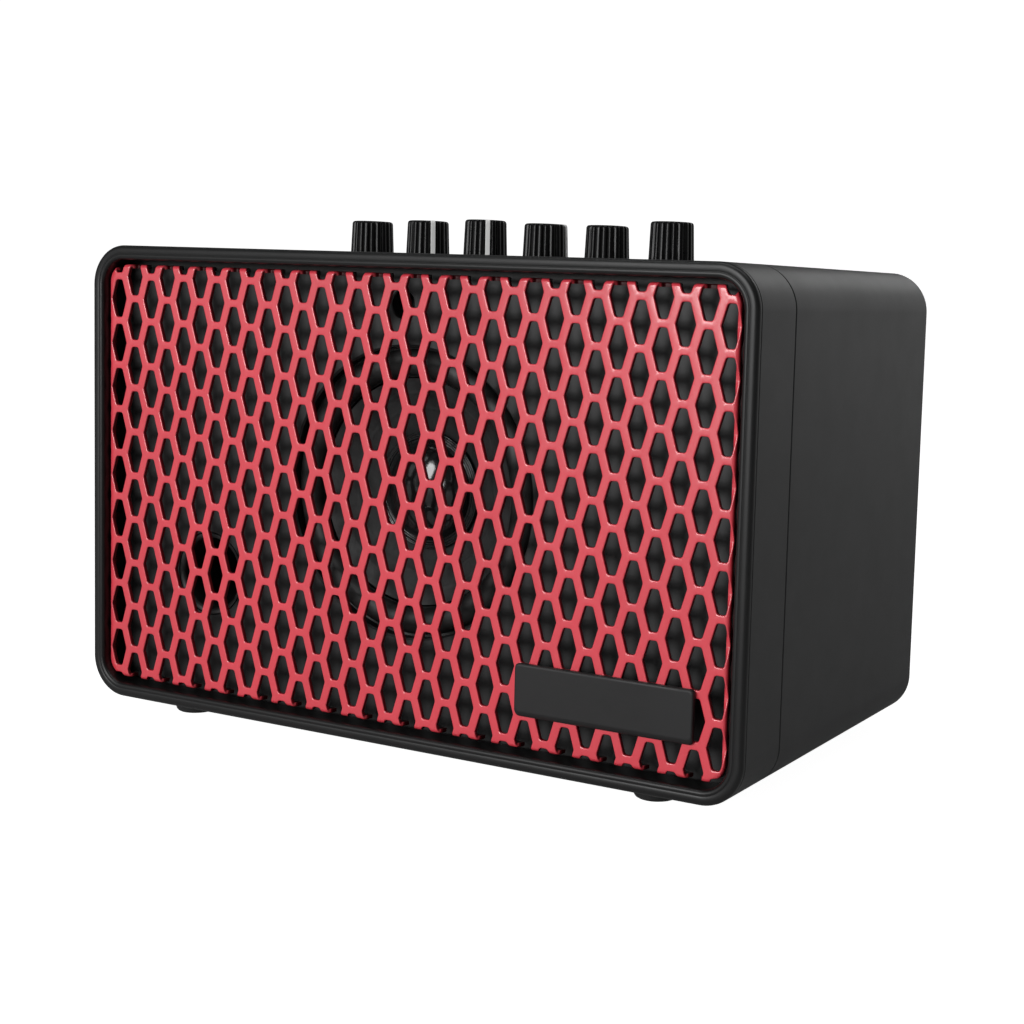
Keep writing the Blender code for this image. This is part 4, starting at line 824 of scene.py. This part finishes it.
def make_knob(name):
    node = name + "_knob"
    lo, hi = box_mm(node)
    x, y = (lo[0] + hi[0]) / 2, (lo[1] + hi[1]) / 2
    z0, z1 = lo[2], hi[2]
    h = z1 - z0
    r_base, r_top = 6.25, 5.85
    ang = pointer_angle(name)
    flutes, per = 20, 10
    n = flutes * per

    def outline(r, depth):
        pts = []
        for i in range(n):
            u = (i % per) / per
            groove = math.exp(-(((u - 0.5) / 0.17) ** 2))
            rad = r - depth * groove
            a = ang + 2 * math.pi * i / n
            pts.append((x + rad * math.cos(a), y + rad * math.sin(a)))
        return pts

    def side(z):
        return r_base + (r_top - r_base) * (z / h)

    rings = [(z0, outline(r_base - 0.15, 0.42)), (z0 + 0.15, outline(r_base, 0.45))]
    for f in (0.3, 0.6, 0.85):
        rings.append((z0 + h * f, outline(side(h * f), 0.45)))
    rings += [(z1 - 0.75, outline(side(h - 0.75), 0.44)), (z1 - 0.45, outline(r_top - 0.06, 0.38)),
              (z1 - 0.2, outline(r_top - 0.24, 0.25)), (z1 - 0.06, outline(r_top - 0.5, 0.12)),
              (z1, outline(r_top - 0.85, 0.0)), (z1, outline(4.6, 0.0)), (z1 - 0.12, outline(4.42, 0.0)),
              (z1 - 0.3, outline(4.3, 0.0)), (z1 - 0.34, outline(4.1, 0.0)), (z1 - 0.3, outline(2.0, 0.0))]
    bore = circle(x, y, 3.4, 40)
    socket = [(z0, bore), (z0 + h - 2.4, bore)]
    body = name + "_control"
    place(lofted(name + "_cap", MAT["knob"], "XY", rings, [socket], smooth=40), body, "knob", node)

    # pointer: one raised rib up the side and over the top edge towards the centre
    half = 0.62
    prof = [(r_base + 0.28, z0 + 0.12), (r_base + 0.33, z0 + 0.3), (side(h * 0.5) + 0.33, z0 + h * 0.5),
            (r_top + 0.31, z1 - 0.75), (r_top + 0.22, z1 - 0.4), (r_top + 0.02, z1 - 0.12), (r_top - 0.3, z1 + 0.04),
            (r_top - 0.7, z1 + 0.06), (1.1, z1 + 0.06), (1.0, z1 - 0.02), (1.0, z1 - 0.6), (r_top - 1.2, z1 - 0.8),
            (r_base - 1.0, z0 + 0.12)]
    s = Shape("XY")
    ca, sa = math.cos(ang), math.sin(ang)

    def at(r, off, z):
        return s.bm.verts.new((x + r * ca - off * sa, y + r * sa + off * ca, z))

    cr = sum(p[0] for p in prof) / len(prof)
    cz = sum(p[1] for p in prof) / len(prof)
    layers = []
    for off, shrink in ((-half, 0.07), (-half + 0.07, 0.0), (half - 0.07, 0.0), (half, 0.07)):
        layer = []
        for r, z in prof:
            dr, dz = r - cr, z - cz
            ln = math.hypot(dr, dz)
            layer.append(at(r - dr / ln * shrink, off, z - dz / ln * shrink))
        layers.append(layer)
    for a, b in zip(layers, layers[1:]):
        s.wall(a, b)
    s.cap(layers[0])
    s.cap(layers[-1])
    place(s.finish(name + "_pointer", MAT["pointer"], smooth=30), body, "knob")


def make_control_plate():
    lo, hi = box_mm("control_plate")
    hx, hy, z0, z1 = (hi[0] - lo[0]) / 2, (hi[1] - lo[1]) / 2, lo[2], hi[2]
    rings = [(z0, rounded_rect(hx, hy, 3.0, 10)), (z1 - 0.3, rounded_rect(hx, hy, 3.0, 10)),
             (z1 - 0.08, rounded_rect(hx - 0.08, hy - 0.08, 2.92, 10)), (z1, rounded_rect(hx - 0.3, hy - 0.3, 2.7, 10))]
    holes = []
    centres = [node_xz(f"{k}_knob")[0] for k in KNOBS]
    for x in centres:
        holes.append([(z0, circle(x, 0, 3.7, 48)), (z1 - 0.2, circle(x, 0, 3.7, 48)), (z1, circle(x, 0, 3.9, 48))])
    place(lofted("control_panel", MAT["plate"], "XY", rings, holes, smooth=40), "cabinet", "panel", "control_plate")
    # scale marks: eleven strokes round each control, longer at the ends and in the middle
    s = Shape("XY")
    for x in centres:
        for k in range(11):
            a = math.radians(90.0 - (-150.0 + 30.0 * k))
            r0, r1 = 7.75, 9.5 if k in (0, 5, 10) else 8.8
            hw = 0.24 if k in (0, 5, 10) else 0.17
            ca, sa = math.cos(a), math.sin(a)
            loop = [(x + r * ca - t * sa, r * sa + t * ca) for r, t in ((r0, -hw), (r1, -hw), (r1, hw), (r0, hw))]
            inner = [(x + r * ca - t * sa, r * sa + t * ca)
                     for r, t in ((r0 + 0.03, -hw + 0.03), (r1 - 0.03, -hw + 0.03), (r1 - 0.03, hw - 0.03), (r0 + 0.03, hw - 0.03))]
            rr = [s.ring(loop, z1 - 0.05), s.ring(loop, z1 + 0.025), s.ring(inner, z1 + 0.05)]
            s.wall(rr[0], rr[1])
            s.wall(rr[1], rr[2])
            s.cap(rr[0])
            s.cap(rr[2])
    place(s.finish("control_marks", MAT["print"], smooth=30), "cabinet", "panel")


# ---------------------------------------------------------------- connections
def make_io():
    lo, hi = box_mm("io_plate")
    cx, cz = (lo[0] + hi[0]) / 2, (lo[2] + hi[2]) / 2
    hx, hz, y0, y1 = (hi[0] - lo[0]) / 2, (hi[2] - lo[2]) / 2, lo[1], hi[1]
    jack_x = node_xz("input_jack")[0]
    phones_x = node_xz("headphone_jack")[0]
    aux_x = node_xz("aux_jack")[0]
    usb_x = node_xz("charge_port")[0]
    led_x = node_xz("status_led")[0]
    switch_x = node_xz("power_switch_housing")[0]
    rings = [(y0, rounded_rect(hx, hz, 2.0, 8, cx, cz)), (y1 - 0.3, rounded_rect(hx, hz, 2.0, 8, cx, cz)),
             (y1 - 0.08, rounded_rect(hx - 0.08, hz - 0.08, 1.92, 8, cx, cz)),
             (y1, rounded_rect(hx - 0.3, hz - 0.3, 1.7, 8, cx, cz))]

    def opening(make):
        return [(y0, make(0.0)), (y1 - 0.2, make(0.0)), (y1, make(0.2))]
    holes = [opening(lambda e: circle(jack_x, cz, 5.0 + e, 56)), opening(lambda e: circle(phones_x, cz, 3.2 + e, 40)),
             opening(lambda e: circle(aux_x, cz, 3.2 + e, 40)),
             opening(lambda e: rounded_rect(4.8 + e, 1.9 + e, 1.85 + e, 10, usb_x, cz)),
             opening(lambda e: circle(led_x, cz, 1.8 + e, 32)),
             opening(lambda e: rounded_rect(6.8 + e, 9.8 + e, 0.6 + e, 4, switch_x, cz))]
    place(lofted("connection_panel", MAT["plate"], "XZ", rings, holes, smooth=40), "cabinet", "panel", "io_plate")

    # printed marks: a ring round each socket and a short stroke over each, and a border line
    s = Shape("XZ")

    def band(outer, inner):
        a0, a1 = s.ring(outer, y1 - 0.05), s.ring(outer, y1 + 0.04)
        b0, b1 = s.ring(inner, y1 - 0.05), s.ring(inner, y1 + 0.04)
        s.wall(a0, a1)
        s.wall(a1, b1)
        s.wall(b1, b0)
        s.wall(b0, a0)
    band(rounded_rect(hx - 1.6, hz - 1.6, 1.4, 8, cx, cz), rounded_rect(hx - 1.85, hz - 1.85, 1.15, 8, cx, cz))
    for x, r in ((phones_x, 4.6), (aux_x, 4.6), (jack_x, 8.6), (led_x, 2.9)):
        band(circle(x, cz, r, 64), circle(x, cz, r - 0.22, 64))
    for x in (jack_x, phones_x, aux_x, usb_x, led_x):
        loop = rounded_rect(1.6, 0.16, 0.12, 3, x, cz + 10.2)
        a0, a1 = s.ring(loop, y1 - 0.05), s.ring(loop, y1 + 0.04)
        s.wall(a0, a1)
        s.cap(a0)
        s.cap(a1)
    place(s.finish("connection_marks", MAT["print"], smooth=30), "cabinet", "panel")

    # input jack: body behind the plate, threaded bush, one bore
    lo, hi = box_mm("input_jack")
    jx = (lo[0] + hi[0]) / 2
    base, tip = hi[1] - 4.6, hi[1]
    n = 64
    rings = [(lo[1], rounded_rect(8.0, 7.0, 1.0, 15, jx, cz)), (base - 0.3, rounded_rect(8.0, 7.0, 1.0, 15, jx, cz)),
             (base, rounded_rect(7.7, 6.7, 0.8, 15, jx, cz))]
    rings.append((base, circle(jx, cz, 4.6, n)))
    y = base + 0.1
    while y < tip - 0.55:
        rings.append((y, circle(jx, cz, 4.6, n)))
        rings.append((y + 0.2, circle(jx, cz, 4.34, n)))
        y += 0.4
    rings += [(tip - 0.35, circle(jx, cz, 4.55, n)), (tip, circle(jx, cz, 4.2, n))]
    bore = [(tip, circle(jx, cz, 3.65, n)), (tip - 0.25, circle(jx, cz, 3.4, n)), (lo[1] + 1.5, circle(jx, cz, 3.4, n))]
    place(lofted("input_socket", MAT["jack"], "XZ", rings, [bore], smooth=40), "cabinet", "jack", "input_jack")
    lo, hi = box_mm("input_jack_nut")
    y0n, y1n = lo[1], hi[1]
    n = 96

    def hexa(r_flat, limit):
        """Hexagon of flat radius r_flat with its corners turned off at limit."""
        pts = []
        for i in range(n):
            a = 2 * math.pi * i / n
            k = math.cos((a % (math.pi / 3)) - math.pi / 6)
            r = min(r_flat / k, limit)
            pts.append((jx + r * math.cos(a), cz + r * math.sin(a)))
        return pts
    rf = 7.2 * math.cos(math.pi / 6)
    rings = [(y0n, hexa(rf, 6.6)), (y0n + 0.25, hexa(rf, 7.2)), (y1n - 0.35, hexa(rf, 7.2)), (y1n, hexa(rf - 0.05, 6.35))]
    hole = [(y0n, circle(jx, cz, 5.0, n)), (y1n - 0.3, circle(jx, cz, 4.72, n)), (y1n, circle(jx, cz, 5.1, n))]
    place(lofted("input_nut", MAT["steel"], "XZ", rings, [hole], smooth=30), "cabinet", "steel", "input_jack_nut")

    for node, name in (("headphone_jack", "headphone_socket"), ("aux_jack", "aux_socket")):
        lo, hi = box_mm(node)
        x = (lo[0] + hi[0]) / 2
        tip = hi[1]
        base = tip - 1.9
        n = 48
        rings = [(lo[1], rounded_rect(4.0, 3.5, 0.5, 11, x, cz)), (base - 0.2, rounded_rect(4.0, 3.5, 0.5, 11, x, cz)),
                 (base, rounded_rect(3.9, 3.4, 0.4, 11, x, cz)), (base, circle(x, cz, 2.85, n)),
                 (tip - 0.2, circle(x, cz, 2.85, n)), (tip, circle(x, cz, 2.65, n))]
        bore = [(tip, circle(x, cz, 2.15, n)), (tip - 0.25, circle(x, cz, 1.9, n)), (lo[1] + 1.0, circle(x, cz, 1.9, n))]
        place(lofted(name, MAT["jack"], "XZ", rings, [bore], smooth=40), "cabinet", "jack", node)

    lo, hi = box_mm("charge_port")
    x, tip = (lo[0] + hi[0]) / 2, hi[1]

    def oval(inset):
        return rounded_rect(4.5 - inset, 1.6 - inset, 1.55 - inset, 14, x, cz)
    rings = [(lo[1], oval(0.0)), (tip - 0.12, oval(0.0)), (tip, oval(0.1))]
    mouth = [(tip, oval(0.26)), (tip - 0.1, oval(0.35)), (tip - 6.0, oval(0.35))]
    place(lofted("charge_socket", MAT["steel"], "XZ", rings, [mouth], smooth=40), "cabinet", "steel", "charge_port")
    tongue = [(tip - 6.3, rounded_rect(3.3, 0.38, 0.2, 5, x, cz)), (tip - 1.1, rounded_rect(3.3, 0.38, 0.2, 5, x, cz)),
              (tip - 0.9, rounded_rect(3.1, 0.26, 0.12, 5, x, cz))]
    place(lofted("charge_tongue", MAT["jack"], "XZ", tongue, smooth=40), "cabinet", "jack")

    lo, hi = box_mm("status_led")
    x = (lo[0] + hi[0]) / 2
    profile = [(0.0, lo[1]), (1.5, lo[1])]
    neck = hi[1] - 1.1
    profile.append((1.5, neck))
    for i in range(1, 13):
        a = math.pi / 2 * i / 12
        profile.append((1.5 * math.cos(a) if i < 12 else 0.0, neck + 1.1 * math.sin(a)))
    place(turned("status_lens", MAT["led"], profile, "Y", (x, cz, 0.0), 48, smooth=50), "cabinet", "led", "status_led")

    lo, hi = box_mm("power_switch_housing")
    x, tip = (lo[0] + hi[0]) / 2, hi[1]
    under = tip - 1.2

    def r4(hu, hv, r):
        return rounded_rect(hu, hv, r, 6, x, cz)
    rings = [(lo[1], r4(6.5, 9.5, 0.4)), (under, r4(6.5, 9.5, 0.4)), (under, r4(7.4, 10.4, 1.0)),
             (under + 0.3, r4(7.5, 10.5, 1.0)), (tip - 0.35, r4(7.42, 10.42, 1.0)), (tip - 0.08, r4(7.15, 10.15, 0.9)),
             (tip, r4(6.8, 9.8, 0.7))]
    pocket = [(tip, r4(5.5, 8.5, 0.5)), (tip - 0.25, r4(5.2, 8.2, 0.4)), (lo[1] + 6.5, r4(5.2, 8.2, 0.4))]
    place(lofted("switch_frame", MAT["jack"], "XZ", rings, [pocket], smooth=40), "cabinet", "jack", "power_switch_housing")

    # rocker: the CAD profile with rounded edges, tilted on its pivot
    j = JOINT["power_rock"]
    px, py, pz = [c / MM for c in j["pos_m"]]
    side = [(-7.0, 1.3), (-6.95, 1.9), (-6.7, 2.35), (-6.3, 2.55)]
    for i in range(13):
        v = -6.0 + i
        side.append((v, 1.42 + 0.0305 * v * v))
    side += [(6.3, 2.55), (6.7, 2.35), (6.95, 1.9), (7.0, 1.3), (6.2, -1.2), (2.5, -3.2), (-2.5, -3.2), (-6.2, -1.2)]
    s = Shape("YZ")
    layers = []
    for off, shrink in ((-4.8, 0.35), (-4.7, 0.1), (-4.45, 0.0), (4.45, 0.0), (4.7, 0.1), (4.8, 0.35)):
        layers.append(s.ring([(w - (shrink if w > 1.0 else 0.0), v) for v, w in side], off))
    for a, b in zip(layers, layers[1:]):
        s.wall(a, b)
    s.cap(layers[0])
    s.cap(layers[-1])
    matrix = Matrix.Translation((px, py, pz)) @ Matrix.Rotation(math.radians(-8.0), 4, "X")
    place(s.finish("rocker_paddle", MAT["knob"], smooth=35, matrix=matrix), "rocker", "knob", "power_rocker")
    # generic marks on the rocker: a short stroke at one end, a ring at the other
    s = Shape("XZ")

    def on_face(v):
        return 1.42 + 0.0305 * v * v + 0.01
    stroke = rounded_rect(0.22, 1.25, 0.15, 3, 0.0, 4.0)
    a0 = [s.bm.verts.new((u, on_face(v) - 0.15, v)) for u, v in stroke]
    a1 = [s.bm.verts.new((u, on_face(v) + 0.03, v)) for u, v in stroke]
    s.wall(a0, a1)
    s.cap(a0)
    s.cap(a1)
    rings4 = []
    for r, dy in ((1.25, -0.15), (1.25, 0.03), (0.88, 0.03), (0.88, -0.15)):
        rings4.append([s.bm.verts.new((u, on_face(v) + dy, v)) for u, v in circle(0.0, -4.0, r, 48)])
    for i in range(4):
        s.wall(rings4[i], rings4[(i + 1) % 4])
    place(s.finish("rocker_marks", MAT["print"], smooth=30, matrix=matrix), "rocker", "knob")


make_bezel()
make_grille()
make_badge()
make_front_case()
make_rear_case()
make_feet()
for tag in ("upper_left", "upper_right", "lower_left", "lower_right"):
    make_screw("case_screw_" + tag, "case_bolt_" + tag, 6, -1)
make_screw("front_screw", "front_bolt", 6, 1)
make_speaker()
for knob in KNOBS:
    make_knob(knob)
make_control_plate()
make_io()

# ---------------------------------------------------------------- finishes of the frame's own parts
NODE_FINISH = {
    "speaker_basket": "basket", "speaker_spider": "spider", "speaker_voice_coil": "coil",
    "speaker_top_plate": "steel", "speaker_magnet": "ferrite", "speaker_yoke": "steel",
    "control_board": "board", "main_board": "board", "battery_pack": "battery",
}
for k in KNOBS:
    NODE_FINISH[k + "_shaft"] = "shaft"
    NODE_FINISH[k + "_pot"] = "steel"
for tag in ("upper_left", "upper_right", "lower_left", "lower_right"):
    NODE_FINISH["speaker_screw_" + tag] = "dark_steel"
for node, key in NODE_FINISH.items():
    ob = frame["nodes"][node]
    ob.data.materials.clear()
    ob.data.materials.append(MAT[key])
for node, ob in frame["nodes"].items():
    if not ob.hide_render and node not in NODE_FINISH:
        raise RuntimeError(f"{node} has no finish")

# ---------------------------------------------------------------- floor, light, camera
def make_floor():
    bm = bmesh.new()
    rows = []
    size, back, rise = 4.0, 1.6, 1.2
    path = [(-size, 0.0), (back, 0.0)]
    for i in range(1, 13):
        a = math.pi / 2 * i / 12
        path.append((back + rise * math.sin(a), rise * (1 - math.cos(a))))
    path.append((back + rise, 4.0))
    for y, z in path:
        rows.append([bm.verts.new((x, y, z - 0.0001)) for x in (-size, size)])
    for a, b in zip(rows, rows[1:]):
        bm.faces.new((a[0], a[1], b[1], b[0]))
    bmesh.ops.transform(bm, matrix=Matrix.Rotation(math.radians(26.5), 4, "Z"), verts=bm.verts[:])
    me = bpy.data.meshes.new("studio_floor")
    bm.to_mesh(me)
    bm.free()
    me.shade_smooth()
    ob = bpy.data.objects.new("studio_floor", me)
    scene.collection.objects.link(ob)
    m = bpy.data.materials.new("studio_floor_paint")
    m.use_nodes = True
    nt = m.node_tree
    nt.nodes.clear()
    out = nt.nodes.new("ShaderNodeOutputMaterial")
    diff = nt.nodes.new("ShaderNodeBsdfDiffuse")
    tc = nt.nodes.new("ShaderNodeTexCoord").outputs["Object"]
    path = nt.nodes.new("ShaderNodeLightPath")
    seen = path.outputs["Is Camera Ray"]
    link(nt, mixed(nt, noise(nt, tc, 3.0, 2.0), (0.42, 0.42, 0.42), (0.45, 0.45, 0.45)), diff.inputs["Color"])
    em = nt.nodes.new("ShaderNodeEmission")
    glow = nt.nodes.new("ShaderNodeMath")
    glow.operation = "MAXIMUM"
    link(nt, ranged(nt, seen, 0.0, 1.0, 0.0, 0.97), glow.inputs[0])
    link(nt, ranged(nt, path.outputs["Is Glossy Ray"], 0.0, 1.0, 0.0, 0.10), glow.inputs[1])
    link(nt, glow.outputs[0], em.inputs["Strength"])
    add = nt.nodes.new("ShaderNodeAddShader")
    link(nt, diff.outputs[0], add.inputs[0])
    link(nt, em.outputs[0], add.inputs[1])
    link(nt, add.outputs[0], out.inputs["Surface"])
    me.materials.append(m)


def make_world():
    w = bpy.data.worlds.new("studio")
    w.use_nodes = True
    scene.world = w
    nt = w.node_tree
    bg = nt.nodes["Background"]
    path = nt.nodes.new("ShaderNodeLightPath")
    bg.inputs["Color"].default_value = (1, 1, 1, 1)
    link(nt, ranged(nt, path.outputs["Is Camera Ray"], 0.0, 1.0, 0.10, 1.0), bg.inputs["Strength"])


def softbox(name, at, to, size, power, tint=(1, 1, 1)):
    light = bpy.data.lights.new(name, "AREA")
    light.shape = "RECTANGLE"
    light.size, light.size_y = size
    light.energy = power
    light.color = tint
    ob = bpy.data.objects.new(name, light)
    scene.collection.objects.link(ob)
    ob.location = at
    ob.rotation_mode = "QUATERNION"
    ob.rotation_quaternion = (Vector(to) - Vector(at)).to_track_quat("-Z", "Y")
    ob.visible_camera = False
    return ob


def make_camera():
    cam = bpy.data.cameras.new("camera")
    ob = bpy.data.objects.new("camera", cam)
    scene.collection.objects.link(ob)
    right = Vector((0.89286511, 0.44894299, 0.03524319))
    down = Vector((0.07515498, -0.07138973, -0.99461311))
    ahead = Vector((-0.44400859, 0.89070404, -0.09748171))
    at = Vector((0.26536, -0.39938, 0.12513))
    ob.matrix_world = Matrix(((right.x, -down.x, -ahead.x, at.x), (right.y, -down.y, -ahead.y, at.y),
                              (right.z, -down.z, -ahead.z, at.z), (0, 0, 0, 1)))
    cam.sensor_fit = "HORIZONTAL"
    cam.sensor_width = 36.0
    cam.lens = 1666.413 * 36.0 / 1024
    cam.clip_start, cam.clip_end = 0.01, 50.0
    # the object stands left of the picture's axis here, so the lens is shifted, but only from this place
    for prop, amount in (("shift_x", 0.5 - 716.9482 / 1024), ("shift_y", 453.22 / 1024 - 0.5)):
        setattr(cam, prop, amount)
        d = cam.driver_add(prop).driver
        d.type = "SCRIPTED"
        for var, axis in (("px", "LOC_X"), ("py", "LOC_Y")):
            v = d.variables.new()
            v.name = var
            v.type = "TRANSFORMS"
            v.targets[0].id = ob
            v.targets[0].transform_type = axis
            v.targets[0].transform_space = "WORLD_SPACE"
        d.expression = f"{amount:.6f} if abs(px - {at.x:.5f}) < 0.002 and abs(py + {-at.y:.5f}) < 0.002 else 0.0"
    scene.camera = ob


make_floor()
make_world()
softbox("key_box", (-0.30, -1.40, 0.42), (0.0, 0.0, 0.06), (0.7, 0.6), 15.9)
softbox("top_strip", (0.05, -0.25, 1.15), (0.0, 0.0, 0.06), (1.2, 0.25), 4.2)
softbox("left_box", (-0.55, -1.25, 0.75), (0.0, 0.0, 0.06), (0.35, 0.35), 0.8)
softbox("back_box", (0.95, 1.45, 0.38), (0.0, 0.0, 0.02), (2.0, 1.4), 6.3)
softbox("side_low", (1.50, 0.10, 0.12), (0.1, 0.0, 0.03), (0.8, 0.2), 0.08)
softbox("back_top", (0.10, 1.50, 0.80), (0.0, 0.0, 0.10), (0.7, 0.3), 1.9)
softbox("veil_box", (-1.35, -1.30, 0.32), (0.0, 0.0, 0.08), (0.7, 0.6), 1.0)
make_camera()
scene.view_settings.view_transform = "Standard"
